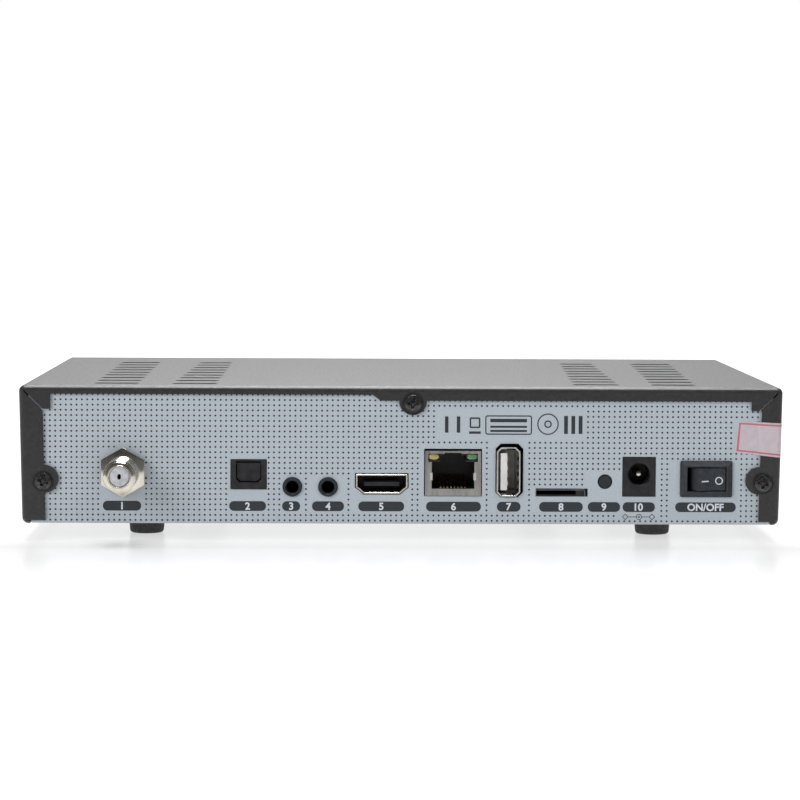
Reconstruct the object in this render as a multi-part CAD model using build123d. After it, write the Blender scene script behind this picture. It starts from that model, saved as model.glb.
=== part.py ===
from build123d import *
import os
from math import cos, radians, sin

# Satellite television receiver, with every piece as a solid of its own.
# Millimetres. +Z is up, the front panel faces -Y and the connector panel faces +Y.
# The origin is on the ground under the middle of the overall box.
# "Inward" depths are counted from the outer face of the connector panel towards the front.

# ---- Case -------------------------------------------------------------------------------
case_width = 220.0          # outside, across the top of the cover
case_height = 39.8          # sheet-metal box without the feet
panel_to_front = 144.5      # connector panel to the front edge of the cover
side_lean = 0.85            # each side wall comes in by this much at the bottom
cover_sheet = 0.8
fold_radius = 1.6           # outside radius of the cover's folds
rear_fold_radius = 1.5      # outside radius where the cover folds over the connector panel
hem_radius = 1.8            # outside radius of the curl under the cover's sides
hem_reach = 2.3             # how far that curl reaches inwards
hem_gap = 0.35              # between the curl and the tray's side wall
tray_sheet = 0.8
tray_bend = 1.2             # outside radius of the tray's folds
tray_side_height = 9.0
bend_relief = 1.0           # notch where two folds of the tray meet
panel_side_gap = 1.2        # between the connector panel's edge and the cover's side wall
roof_gap = 0.3              # between the tray's tall walls and the cover's roof

# ---- Cover's edge over the connector panel --------------------------------------------------
flange_gap = 0.15           # the flanges stand this far off the panel
flange_width_aerial = 6.75  # side flange beside the aerial socket
flange_width_power = 5.95   # side flange beside the rocker switch
flange_foot_gap = 0.95      # the side flanges stop this far above the bottom
lip_short = 2.35            # top lip on the aerial side
lip_long = 4.0              # top lip on the power side
lip_step_x = 7.2            # where the lip changes depth
lip_step_run = 2.2
corner_tab_width = 9.1
corner_tab_drop = 6.65
mitre_gap = 0.4
mitre_start = 1.5           # the mitre cut begins this far in from the corner
aerial_screw_inset = 7.05   # case side to the screw of the side flange
power_screw_inset = 5.6
side_screw_drop = 27.5
centre_screw_x = -3.25
centre_screw_drop = 4.75
aerial_ear_inset = 7.45     # case side to the middle of the round ear under that screw
power_ear_inset = 6.65
ear_rise = 0.6              # each ear's middle above its screw
ear_radius = 4.0
dimple_radius = 3.1
dimple_depth = 0.35

# ---- Vents ------------------------------------------------------------------------------
vent_width = 3.6
vent_pitch = 13.0
vent_rows = 9
vent_first = 11.0           # inward depth of the first row
vent_columns = (            # side, case side to the column's middle at its first and last rows, lengths there
    (1, 27.2, 26.7, 13.3, 12.9),
    (1, 49.9, 51.2, 13.4, 10.8),
    (-1, 53.1, 50.8, 13.8, 11.0),
    (-1, 30.5, 26.4, 13.3, 13.4),
)
floor_vent_length = 11.6
floor_vent_width = 2.4
floor_vent_pitch = 7.3
floor_vent_rows = 9
floor_vent_first = 26.5
floor_vent_inset_aerial = 51.1
floor_vent_inset_power = 67.1

# ---- Feet -------------------------------------------------------------------------------
foot_height = 4.8
foot_radius = 5.4
foot_tip_radius = 4.9
foot_edge_radius = 0.9
foot_stem_radius = 2.0
foot_head_radius = 3.2
foot_head_height = 1.6
foot_hole_gap = 0.1
foot_side_inset = 35.3
foot_end_inset = 20.5

# ---- Screws -----------------------------------------------------------------------------
cover_screw_radius = 1.45
cover_screw_length = 5.0
cover_screw_head_radius = 2.5
cover_screw_head_height = 1.7
inner_screw_radius = 1.25
inner_screw_length = 5.0
inner_screw_head_radius = 2.5
inner_screw_head_height = 1.8
screw_fit = 0.05            # between a screw and the hole that it is driven into
screw_clearance = 0.35      # between a screw and a hole that it passes through
drive_width = 0.7           # width of the cross recess
drive_length = 2.9
drive_depth = 1.0
thread_collar = 1.2         # drawn collar behind each tapped hole of the panel
thread_collar_wall = 0.9

# ---- Main board -------------------------------------------------------------------------
standoff_height = 5.9
standoff_radius = 3.0
standoff_spigot_radius = 2.2
standoff_spigot_gap = 0.05
board_thickness = 1.6
board_depth = 98.0
board_side_gap = 10.0       # case side to board edge
board_rear_gap = 0.7        # inside of the panel to board edge
board_screw_inset = 6.0
connector_gap = 0.4         # inside of the panel to the bodies that stay behind it
cutout_gap = 0.15           # all round a connector in its cut-out

# ---- Connector row, from the power side to the aerial side -------------------------------------
switch_side_inset = 21.95   # case side to the middle of the switch
switch_to_power = 19.4
power_to_recovery = 9.85
recovery_to_card = 12.5
card_to_usb = 15.45
usb_to_ethernet = 15.95
ethernet_to_hdmi = 20.55
hdmi_to_serial = 15.5
serial_to_av = 10.25
av_to_optical = 12.6
aerial_side_inset = 30.0    # case side to the middle of the aerial socket

# ---- Aerial socket and tuner -------------------------------------------------------------
aerial_height = 6.7         # axis above the board
aerial_reach = 16.0         # socket's end in front of the panel
aerial_radius = 4.75        # 3/8 inch thread
aerial_bore_radius = 2.85
aerial_tip_chamfer = 0.8
aerial_root_depth = 0.45    # behind the free thread the barrel is drawn at the thread's root
aerial_neck = 0.4           # plain neck between the nut and the free thread
aerial_collar_radius = 6.2
aerial_collar_height = 1.0
aerial_tail = 3.0           # barrel inside the tuner can
aerial_tip_recess = 0.4     # insulator below the rim
aerial_slot_width = 1.0
aerial_slot_height = 1.6
aerial_slot_depth = 2.5
contact_strip = 0.3
contact_height = 2.0
contact_opening = 0.9
contact_tail = 9.0
washer_radius = 6.2
washer_thickness = 0.8
nut_across_flats = 12.5
nut_thickness = 3.0
nut_fit = 0.05
tuner_inner_side = 8.0      # can wall to the aerial axis, on the side of the other sockets
tuner_outer_side = 16.0
tuner_depth = 40.0
tuner_height = 13.4
tuner_sheet = 0.5
tuner_lid_rim = 3.0
tuner_lid_fit = 0.05
tuner_board_thickness = 1.0

# ---- Optical socket -----------------------------------------------------------------------
optical_width = 10.2
optical_height = 8.45
optical_rise = 1.8          # bottom of the nose above the board
optical_depth = 13.5
optical_proud = 0.3
optical_floor = 1.9         # housing under the shutter
optical_roof = 0.45
shutter_width = 6.8
shutter_gap = 0.25          # round the shutter
shutter_thickness = 0.8
shutter_recess = 0.9        # shutter's face behind the housing's face
shutter_chamfer = 1.0
shutter_pin_radius = 0.45
shutter_pin_reach = 0.8     # pin in the housing's side wall
shutter_pin_fit = 0.05
shutter_ridge = 0.3
shutter_ridge_drop = 2.4    # ridge below the hinge
optical_cavity_depth = 9.0
emitter_radius = 2.2
emitter_length = 2.0

# ---- Round jacks ---------------------------------------------------------------------------
jack_height = 2.45          # axis above the board
jack_body_width = 6.0
jack_body_height = 5.2
jack_body_depth = 12.5
jack_nose_radius = 2.7
jack_nose_proud = 0.8
jack_bore_radius = 1.8
jack_bore_depth = 13.0
jack_mouth_chamfer = 0.4

# ---- Video socket ----------------------------------------------------------------------------
hdmi_width = 14.9
hdmi_height = 5.65
hdmi_rise = 0.55
hdmi_depth = 11.5
hdmi_proud = 0.5
hdmi_sheet = 0.45
hdmi_side_height = 3.8      # upright part of the sides
hdmi_shoulder_run = 1.0
hdmi_shoulder_drop = 0.65
hdmi_foot_run = 2.3
hdmi_leg_width = 1.2
hdmi_tongue_width = 10.2
hdmi_tongue_thickness = 1.2
hdmi_tongue_drop = 2.3      # top of the shell to the top of the tongue
hdmi_tongue_recess = 1.2
hdmi_base_depth = 3.5
insert_fit = 0.05           # plastic inserts in their metal shells

# ---- Network socket -----------------------------------------------------------------------
ethernet_width = 16.1
ethernet_height = 13.0
ethernet_depth = 20.0
ethernet_proud = 0.4
ethernet_sheet = 0.3
ethernet_cavity_width = 12.2
ethernet_cavity_height = 7.7
ethernet_cavity_rise = 2.1  # cavity floor above the bottom of the shell
ethernet_cavity_depth = 14.0
ethernet_latch_width = 7.6
ethernet_latch_height = 1.9
ethernet_notch_width = 4.85
ethernet_notch_height = 0.7
ethernet_light_width = 3.1
ethernet_light_height = 1.8
ethernet_light_inset = 0.95 # shell's side to the light
ethernet_light_rise = 0.55  # cavity's roof to the light
ethernet_light_depth = 8.0
ethernet_pin_pitch = 1.016
ethernet_pin_count = 8
ethernet_pin_width = 0.45
ethernet_pin_thickness = 0.3
ethernet_pin_start = 1.8    # inward from the cavity's mouth
ethernet_pin_rise = 2.6
ethernet_pin_slant = 11.0

# ---- USB socket, standing on its side --------------------------------------------------------
usb_width = 5.8
usb_height = 13.1
usb_rise = 0.5
usb_depth = 13.5
usb_sheet = 0.35
usb_flare_width = 6.9
usb_flare_height = 14.4
usb_flare_chamfer = 1.3
usb_flare_length = 1.2
usb_cutout_shift = 0.3      # the cut-out is a little off the socket's middle
usb_cutout_rise = 0.3
usb_cutout_side_gap = 0.55  # beside the flared rim
usb_cutout_end_gap = 0.6    # above and below it
usb_cutout_chamfer = 1.5
usb_leg_width = 1.5
usb_tongue_thickness = 1.88
usb_tongue_height = 10.7
usb_tongue_shift = 1.3      # tongue off the socket's middle
usb_tongue_recess = 0.5
usb_base_depth = 2.5
usb_pin_width = 1.2
usb_pin_thickness = 0.3
usb_pin_recess = 1.2
usb_pin_length = 8.0
usb_pin_heights = (-3.5, -1.0, 1.0, 3.5)

# ---- Memory-card slot ---------------------------------------------------------------------
card_width = 14.3
card_height = 1.9
card_depth = 15.0
card_proud = 0.2
card_sheet = 0.2
card_cutout_width = 15.1
card_cutout_height = 2.2
card_slot_width = 11.4
card_floor = 0.4
card_slot_depth = 12.0

# ---- Recovery push switch --------------------------------------------------------------------
recovery_height = 4.2       # axis above the board
recovery_body_width = 7.0
recovery_body_height = 7.4
recovery_body_depth = 6.5
recovery_button_radius = 1.9
recovery_button_recess = 0.1
recovery_button_length = 6.0
recovery_bore_gap = 0.1
recovery_travel = 0.35

# ---- Power socket ----------------------------------------------------------------------------
power_width = 9.4
power_height = 11.3
power_depth = 14.0
power_proud = 0.2
power_bore_radius = 3.1
power_bore_height = 6.4     # axis above the board
power_bore_depth = 9.5
power_mouth_chamfer = 0.4
power_pin_radius = 1.0
power_pin_recess = 1.4
power_pin_root = 2.5
power_pin_fit = 0.03

# ---- Rocker switch ----------------------------------------------------------------------------
switch_height = 5.1         # middle above the board
bezel_width = 15.1
bezel_height = 10.5
bezel_thickness = 2.0
bezel_edge = 0.6            # thickness at the rim of the bezel
bezel_slope = 1.4
aperture_width = 11.3
aperture_height = 7.0
switch_body_width = 13.4
switch_body_height = 9.0
switch_body_depth = 12.6
switch_cavity_depth = 9.5
latch_reach = 0.5
latch_length = 3.0
latch_height = 4.0
rocker_arm = 4.15           # middle of the rocker to each end
rocker_face_height = 5.8    # middle of the face above the pivot
rocker_face_drop = 0.4      # pressed half below the bezel
rocker_skirt = 4.4
rocker_throw = 25.0
rocker_hub_half_width = 2.2
rocker_hub_drop = 1.0       # hub below the pivot
rocker_side_gap = 0.3
rocker_pin_radius = 1.0
rocker_pin_reach = 0.5      # pin in the housing's wall
rocker_pin_fit = 0.05
terminal_width = 2.8
terminal_thickness = 0.6
terminal_length = 6.0
terminal_spacing = 6.8
terminal_root = 2.0         # terminal inside the housing's floor
wire_radius = 0.8
wire_straight = 5.0
wire_arch_height = 13.0     # above the board
wire_landing_depth = 41.0
wire_landing_spacing = 3.4
wire_bend = 3.0

# ---- Parts on the board -------------------------------------------------------------------------
processor_size = 23.0
processor_thickness = 1.6
processor_x = -8.0
processor_depth = 52.0
heatsink_size = 37.0
heatsink_base = 2.0
heatsink_height = 11.0
heatsink_fins = 9
heatsink_fin = 1.1
memory_length = 13.0
memory_width = 9.0
memory_thickness = 1.2
memory_offset = 30.0        # from the processor
memory_pitch = 15.0
can_radius = 4.0            # electrolytic capacitors
can_height = 11.5
can_pitch = 11.0
can_rim = 0.8
can_row_depth = 24.0
can_count = 4
coil_size = 10.0
coil_height = 4.0
coil_pitch = 14.0
coil_row_depth = 60.0
coil_rounding = 2.0
coil_count = 2

# ---- Front panel and what it carries -------------------------------------------------------------
fascia_depth = 6.0
fascia_drop = 0.5           # top of the front panel below the cover
fascia_rounding = 1.5
fascia_plate = 2.0
fascia_wall = 2.0
fascia_screw_inset = 12.0   # case side to the screws of the front panel
fascia_screw_spread = 11.0  # above and below the middle
boss_radius = 2.9
boss_floor = 0.6            # solid plastic at the bottom of each screw hole
window_width = 70.0
window_height = 19.0
window_thickness = 1.2
window_gap = 0.15
window_ledge = 2.0
display_opening_inset = 22.0 # case side to the opening in the tray's front wall
display_opening_height = 25.0
display_board_gap = 4.0     # opening's side to the board
display_board_height = 22.0
display_board_thickness = 1.2
display_board_behind = 6.2  # behind the front panel's plate
display_screw_inset = 7.0   # board's end to its screws
display_screw_spread = 7.9
led_width = 50.0
led_height = 14.0
led_window_gap = 0.3
receiver_x = 29.5
receiver_width = 5.0
receiver_height = 6.5
status_light_spacing = 14.0 # from the power button
status_light_radius = 1.5
status_light_recess = 0.3
button_gap = 0.2            # all round a button in its hole
power_button_inset = 10.0   # board's end to the power button
channel_up_inset = 8.0      # board's other end to the channel-up button
channel_button_spacing = 16.0
button_radius = 3.2
button_proud = 0.8
button_flange_radius = 4.3
button_flange = 0.8
button_flange_gap = 0.15
button_stem_radius = 1.5
button_travel = 0.4
tact_size = 6.2
tact_height = 3.2
plunger_radius = 1.7
plunger_gap = 0.1
plunger_proud = 1.0
plunger_length = 2.3
socket_width = 15.0
socket_depth = 5.0
socket_height = 5.0
socket_edge_gap = 1.0       # main socket to the front edge of the board
cable_width = 12.0
cable_thickness = 0.3
cable_lead = 9.0            # straight end of the flat cable
cable_bend = 6.0
cable_height = 2.5          # cable above the board
display_socket_drop = 3.0   # display socket below the middle of its board

# ---- Levels and planes ----------------------------------------------------------------------
low_z = foot_height
top_z = foot_height + case_height
floor_z = low_z + tray_sheet
board_bottom_z = floor_z + standoff_height
board_z = board_bottom_z + board_thickness
overall_depth = aerial_reach + panel_to_front + fascia_depth + button_proud
panel_y = overall_depth / 2 - aerial_reach


def inward(depth):
    """Y of a point this far inside the outer face of the connector panel."""
    return panel_y - depth


front_edge_y = inward(panel_to_front)
front_y = front_edge_y - fascia_depth
panel_inside_y = inward(tray_sheet)
body_y = inward(tray_sheet + connector_gap)
board_rear_y = inward(tray_sheet + board_rear_gap)
board_front_y = board_rear_y - board_depth
board_half = case_width / 2 - board_side_gap
plate_back_y = front_y + fascia_plate
display_board_y = plate_back_y + display_board_behind
fascia_middle_z = low_z + (case_height - fascia_drop) / 2
fascia_screw_x = case_width / 2 - fascia_screw_inset
display_opening_width = case_width - 2 * display_opening_inset
display_board_width = display_opening_width - 2 * display_board_gap
display_screw_x = display_board_width / 2 - display_screw_inset
power_button_x = power_button_inset - display_board_width / 2
status_light_x = power_button_x + status_light_spacing
channel_up_x = display_board_width / 2 - channel_up_inset
channel_down_x = channel_up_x - channel_button_spacing

switch_x = switch_side_inset - case_width / 2
power_x = switch_x + switch_to_power
recovery_x = power_x + power_to_recovery
card_x = recovery_x + recovery_to_card
usb_x = card_x + card_to_usb
ethernet_x = usb_x + usb_to_ethernet
hdmi_x = ethernet_x + ethernet_to_hdmi
serial_x = hdmi_x + hdmi_to_serial
av_x = serial_x + serial_to_av
optical_x = av_x + av_to_optical
aerial_x = case_width / 2 - aerial_side_inset

aerial_z = board_z + aerial_height
optical_z = board_z + optical_rise
jack_z = board_z + jack_height
hdmi_z = board_z + hdmi_rise
usb_z = board_z + usb_rise + usb_height / 2
recovery_z = board_z + recovery_height
power_bore_z = board_z + power_bore_height
switch_z = board_z + switch_height
side_half_top = case_width / 2
side_half_low = side_half_top - side_lean
tray_half = side_half_low - hem_reach - hem_gap
LOW = Align.MIN
MID = Align.CENTER


# ---- Shapes that the pieces are made from -----------------------------------------------------
def about(middle, size):
    """(low, high) pair of a size about its middle."""
    return middle - size / 2, middle + size / 2


def block(x, y, z):
    """Box between two values of X, two of Y and two of Z."""
    low = (min(x), min(y), min(z))
    size = (abs(x[1] - x[0]), abs(y[1] - y[0]), abs(z[1] - z[0]))
    return Pos(*low) * Box(*size, align=(LOW, LOW, LOW))


def rod_x(y, z, radius, x):
    """Round bar along X between a (low, high) pair."""
    return Pos(min(x), y, z) * Rot(0, 90, 0) * Cylinder(radius, abs(x[1] - x[0]), align=(MID, MID, LOW))


def rod_y(x, z, radius, y):
    """Round bar along Y between a (low, high) pair."""
    return Pos(x, min(y), z) * Rot(-90, 0, 0) * Cylinder(radius, abs(y[1] - y[0]), align=(MID, MID, LOW))


def rod_z(x, y, radius, z):
    """Round bar along Z between a (low, high) pair."""
    return Pos(x, y, min(z)) * Cylinder(radius, abs(z[1] - z[0]), align=(MID, MID, LOW))


def face_x_z(sketch, y):
    """A sketch drawn in X and Z, stood up at the given Y; it is extruded towards the front."""
    return Plane((0, y, 0), x_dir=(1, 0, 0), z_dir=(0, -1, 0)) * sketch


def prism_y(sketch, y):
    """Sketch in X and Z made solid between two values of Y."""
    return extrude(face_x_z(sketch, max(y)), abs(y[1] - y[0]))


def prism_x(sketch, x):
    """Sketch in Y and Z made solid between two values of X."""
    plane = Plane((min(x), 0, 0), x_dir=(0, 1, 0), z_dir=(1, 0, 0))
    return extrude(plane * sketch, abs(x[1] - x[0]))


def prism_z(sketch, z):
    """Sketch in X and Y made solid between two values of Z."""
    return extrude(Pos(0, 0, min(z)) * sketch, abs(z[1] - z[0]))


def corners(*points):
    """Closed sketch through the given corners, whichever way round they run."""
    pairs = zip(points, points[1:] + points[:1])
    turn = sum(first[0] * second[1] - second[0] * first[1] for first, second in pairs)
    ordered = points if turn > 0 else points[::-1]
    return Polygon(*ordered, align=None)


def panel(x, z):
    """Rectangle between two values of X and two of Z."""
    return Pos(sum(x) / 2, sum(z) / 2) * Rectangle(abs(x[1] - x[0]), abs(z[1] - z[0]))


def chamfered_panel(x, z, cut):
    """Rectangle with its four corners cut off."""
    return chamfer(panel(x, z).vertices(), cut)


def disc(x, z, radius):
    """Filled circle."""
    return Pos(x, z) * Circle(radius)


def group(solids):
    """Several separate solids in one node."""
    return Compound(children=list(solids))


def cross_recess(direction_plane):
    """Cross-shaped driving recess, cut below the plane's surface."""
    slot = Rectangle(drive_length, drive_width) + Rectangle(drive_width, drive_length)
    return extrude(direction_plane * slot, -drive_depth)


def pan_screw(seat, shaft_radius, shaft_length, head_radius, head_height):
    """Pan-head screw: its head stands on the plane's surface and its shaft goes below it."""
    head = Cylinder(head_radius, head_height, align=(MID, MID, LOW))
    head = fillet(head.edges().sort_by(Axis.Z)[-1], head_height * 0.55)
    shaft = Pos(0, 0, -shaft_length) * Cylinder(shaft_radius, shaft_length, align=(MID, MID, LOW))
    screw = head + shaft - cross_recess(Plane.XY.offset(head_height))
    return seat.location * screw


# ---- Case -------------------------------------------------------------------------------
def case_outline(inset=0.0, drop=0.0):
    """Cross-section of the case in X and Z, drawn in by the inset: its sides lean in downwards."""
    top = top_z - inset - drop
    half_top = side_half_top - inset
    half_low = side_half_low - inset
    shape = corners((-half_top, top), (half_top, top), (half_low, low_z + inset), (-half_low, low_z + inset))
    points = shape.vertices().sort_by(Axis.Y)
    shape = fillet(points[:2], max(hem_radius - inset, tray_bend / 2))
    return fillet(shape.vertices().sort_by(Axis.Y)[-2:], max(fold_radius - inset, tray_bend / 2))


def side_half_at(drop):
    """Half width of the case this far below its top."""
    return side_half_top - side_lean * drop / case_height


cover_screws_at = [
    (side_half_top - aerial_screw_inset, top_z - side_screw_drop),
    (power_screw_inset - side_half_top, top_z - side_screw_drop),
    (centre_screw_x, top_z - centre_screw_drop),
]
ears_at = [
    (side_half_top - aerial_ear_inset, top_z - side_screw_drop + ear_rise),
    (power_ear_inset - side_half_top, top_z - side_screw_drop + ear_rise),
    (centre_screw_x, top_z - centre_screw_drop + ear_rise),
]


def flange_window():
    """The opening in the cover's rear edge that leaves the connector panel bare."""
    foot = flange_foot_gap
    half_at_tab = side_half_at(corner_tab_drop)
    half_at_foot = side_half_at(case_height - foot)
    tab_edge = side_half_top - corner_tab_width
    tab_z = top_z - corner_tab_drop
    aerial_side = [
        (half_at_foot - flange_width_aerial, low_z + foot), (half_at_tab - flange_width_aerial, tab_z),
        (tab_edge, tab_z), (tab_edge, top_z - lip_short),
        (lip_step_x + lip_step_run / 2, top_z - lip_short),
    ]
    power_side = [
        (lip_step_x - lip_step_run / 2, top_z - lip_long), (-tab_edge, top_z - lip_long), (-tab_edge, tab_z),
        (flange_width_power - half_at_tab, tab_z), (flange_width_power - half_at_foot, low_z + foot),
    ]
    opening = corners(*aerial_side, *power_side)
    for place in ears_at:
        opening -= disc(*place, ear_radius)
    reach = side_half_low - cover_sheet
    foot_strip = panel((-reach, reach), (low_z - foot, low_z + foot)) & case_outline(cover_sheet)
    hem_edge = side_half_low - hem_reach
    under = panel((-hem_edge, hem_edge), (low_z - foot, low_z + foot))
    return opening + foot_strip + under


def mitre_cuts():
    """The slanted gap where a side flange meets the top lip, in both corners."""
    run = corner_tab_drop + mitre_gap - mitre_start
    start_x = side_half_top - mitre_start
    cuts = Sketch()
    for side in (1, -1):
        cut = Rectangle(run * 2**0.5, mitre_gap, align=(LOW, MID))
        angle = 225 if side > 0 else -45
        cuts += Pos(side * start_x, top_z - mitre_start) * Rot(0, 0, angle) * cut
    return cuts


def make_top_cover():
    """Folded steel cover: roof, side walls curled under at the foot, and a lip over the rear panel."""
    flange_in = panel_y + flange_gap
    flange_out = flange_in + cover_sheet
    outer = prism_y(case_outline(), (flange_out, front_edge_y))
    rear_face = outer.faces().sort_by(Axis.Y)[-1]
    outer = fillet(rear_face.edges(), min(rear_fold_radius, fold_radius * 0.95))
    cover = outer - prism_y(case_outline(cover_sheet), (flange_in, front_edge_y))
    hem_edge = side_half_low - hem_reach
    under = (low_z - cover_sheet, floor_z + cover_sheet)
    cover -= block((-hem_edge, hem_edge), (flange_in, front_edge_y), under)
    through = (flange_in - cover_sheet / 2, flange_out + cover_sheet)
    cover -= prism_y(flange_window(), through)
    cover -= prism_y(mitre_cuts(), through)
    for x, z in cover_screws_at:
        cover -= rod_y(x, z, cover_screw_radius + screw_clearance, through)
        dimple = rod_y(x, z, dimple_radius, (flange_out - dimple_depth, flange_out + cover_sheet))
        cover -= dimple & prism_y(case_outline(rear_fold_radius), through)
    slots = Sketch()
    for side, first_inset, last_inset, first_length, last_length in vent_columns:
        for row in range(vent_rows):
            share = row / max(vent_rows - 1, 1)
            x = side * (side_half_top - first_inset - share * (last_inset - first_inset))
            slot = SlotOverall(first_length + share * (last_length - first_length), vent_width)
            slots += Pos(x, inward(vent_first + row * vent_pitch)) * slot
    return cover - prism_z(slots, (top_z - 2 * cover_sheet, top_z + cover_sheet))


foot_places = [
    (side * (side_half_top - foot_side_inset), y)
    for side in (1, -1)
    for y in (inward(foot_end_inset), front_edge_y + foot_end_inset)
]
rear_screw_x = (optical_x + optical_width / 2 + aerial_x - tuner_inner_side) / 2
board_screws_at = [
    (rear_screw_x, board_rear_y - board_screw_inset),
    (board_screw_inset - board_half, board_rear_y - 5 * board_screw_inset),
    (board_half - board_screw_inset, board_front_y + board_screw_inset),
    (board_screw_inset - board_half, board_front_y + board_screw_inset),
    (processor_x - memory_offset, board_front_y + board_screw_inset),
]
fascia_screws_at = [
    (sx * fascia_screw_x, fascia_middle_z + sz * fascia_screw_spread) for sx in (1, -1) for sz in (1, -1)
]
display_screws_at = [
    (sx * display_screw_x, fascia_middle_z + sz * display_screw_spread)
    for sx in (1, -1) for sz in (1, -1)
]


def panel_cutouts():
    """Every opening of the connector panel, a little larger than what comes through it."""
    gap = cutout_gap
    card_low = board_z - gap
    usb_opening_x = about(usb_x - usb_cutout_shift, usb_flare_width + 2 * usb_cutout_side_gap)
    usb_opening_z = about(usb_z + usb_cutout_rise, usb_flare_height + 2 * usb_cutout_end_gap)
    cuts = [
        disc(aerial_x, aerial_z, aerial_radius + gap),
        panel(about(optical_x, optical_width + 2 * gap), (optical_z - gap, optical_z + optical_height + gap)),
        disc(av_x, jack_z, jack_nose_radius + gap),
        disc(serial_x, jack_z, jack_nose_radius + gap),
        offset(hdmi_outline(), gap * 2, kind=Kind.INTERSECTION),
        panel(
            about(ethernet_x, ethernet_width + 4 * gap),
            (board_z - gap, board_z + ethernet_height + 4 * gap)),
        chamfered_panel(usb_opening_x, usb_opening_z, usb_cutout_chamfer),
        panel(about(card_x, card_cutout_width), (card_low, card_low + card_cutout_height + gap)),
        disc(recovery_x, recovery_z, recovery_button_radius + recovery_bore_gap + gap),
        panel(about(power_x, power_width + 2 * gap), (board_z - gap, board_z + power_height + gap)),
        panel(about(switch_x, switch_body_width + 2 * gap), about(switch_z, switch_body_height + 2 * gap)),
    ]
    return cuts


def folded_sheet():
    """The tray's sheet once folded: floor, low side walls, front wall and tall rear wall, before any hole."""
    wall_top = top_z - cover_sheet - roof_gap
    tray = block((-tray_half, tray_half), (front_edge_y, panel_y), (low_z, wall_top))
    long_edges = tray.edges().filter_by(Axis.X).sort_by(Axis.Z)[:2]
    tray = fillet(long_edges, tray_bend)
    hollow = block(
        (tray_sheet - tray_half, tray_half - tray_sheet),
        (front_edge_y + tray_sheet, panel_inside_y), (floor_z, top_z))
    inner_edges = hollow.edges().filter_by(Axis.X).sort_by(Axis.Z)[:2]
    tray -= fillet(inner_edges, max(tray_bend - tray_sheet, tray_sheet / 4))
    between = (front_edge_y + tray_sheet, panel_inside_y)
    tray -= block((-side_half_top, side_half_top), between, (low_z + tray_side_height, top_z))
    wing_half = side_half_low - cover_sheet - panel_side_gap
    wing_low = low_z + hem_radius
    tray += block((-wing_half, wing_half), (panel_inside_y, panel_y), (wing_low, wall_top))
    for side in (1, -1):
        corner_x = (side * (tray_half - tray_sheet), side * (tray_half + tray_sheet))
        for y in (panel_inside_y - bend_relief, front_edge_y + tray_sheet):
            relief = (y, y + bend_relief)
            tray -= block(corner_x, relief, (low_z - tray_sheet, low_z + tray_side_height + tray_sheet))
    return tray


def rear_wall_space():
    """The room of the rear wall: everything from its inner face outward."""
    return block((-case_width, case_width), (panel_inside_y, panel_y + tray_sheet), (0, top_z))


def make_connector_panel():
    """Rear wall of the tray, with an opening for each connector and drawn collars for the screws."""
    wall = folded_sheet() & rear_wall_space()
    for x, z in cover_screws_at:
        collar_y = (panel_inside_y - thread_collar, panel_inside_y)
        wall += rod_y(x, z, cover_screw_radius + screw_fit + thread_collar_wall, collar_y)
        tapped = (panel_inside_y - thread_collar - tray_sheet, panel_y + tray_sheet)
        wall -= rod_y(x, z, cover_screw_radius + screw_fit, tapped)
    through_panel = (panel_inside_y - tray_sheet / 2, panel_y + tray_sheet / 2)
    for cutout in panel_cutouts():
        wall -= prism_y(cutout, through_panel)
    return wall


def make_base_tray():
    """Folded steel tray up to the rear wall: floor with vents, low side walls and front wall."""
    tray = folded_sheet() - rear_wall_space()
    through_front = (front_edge_y - tray_sheet / 2, front_edge_y + 1.5 * tray_sheet)
    window = panel(about(0, display_opening_width), about(fascia_middle_z, display_opening_height))
    tray -= prism_y(fillet(window.vertices(), tray_bend), through_front)
    for x, z in fascia_screws_at:
        tray -= rod_y(x, z, inner_screw_radius + screw_clearance, through_front)
    through_floor = (low_z - tray_sheet / 2, floor_z + tray_sheet / 2)
    for x, y in foot_places:
        tray -= rod_z(x, y, foot_stem_radius + foot_hole_gap, through_floor)
    for x, y in board_screws_at:
        tray -= rod_z(x, y, standoff_spigot_radius + standoff_spigot_gap, through_floor)
    slots = Sketch()
    for x in (side_half_top - floor_vent_inset_aerial, floor_vent_inset_power - side_half_top):
        for row in range(floor_vent_rows):
            slot = SlotOverall(floor_vent_length, floor_vent_width)
            slots += Pos(x, inward(floor_vent_first + row * floor_vent_pitch)) * slot
    return tray - prism_z(slots, through_floor)


def make_rubber_feet():
    """Push-in rubber feet: a tapered pad, a stem through the floor and a head that holds it."""
    feet = []
    for x, y in foot_places:
        pad = Pos(x, y, 0) * Cone(foot_tip_radius, foot_radius, foot_height, align=(MID, MID, LOW))
        pad = fillet(pad.edges().sort_by(Axis.Z)[0], foot_edge_radius)
        stem = rod_z(x, y, foot_stem_radius, (low_z, floor_z))
        head = Pos(x, y, floor_z) * Cone(
            foot_head_radius, foot_stem_radius, foot_head_height, align=(MID, MID, LOW))
        feet.append(pad + stem + head)
    return group(feet)


def make_cover_screws():
    """Black pan-head screws that hold the cover's rear edge to the panel."""
    head_y = panel_y + flange_gap + cover_sheet - dimple_depth
    screws = []
    for x, z in cover_screws_at:
        seat = Plane((x, head_y, z), x_dir=(-1, 0, 0), z_dir=(0, 1, 0))
        screws.append(pan_screw(
            seat, cover_screw_radius, cover_screw_length, cover_screw_head_radius, cover_screw_head_height))
    return group(screws)


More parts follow.
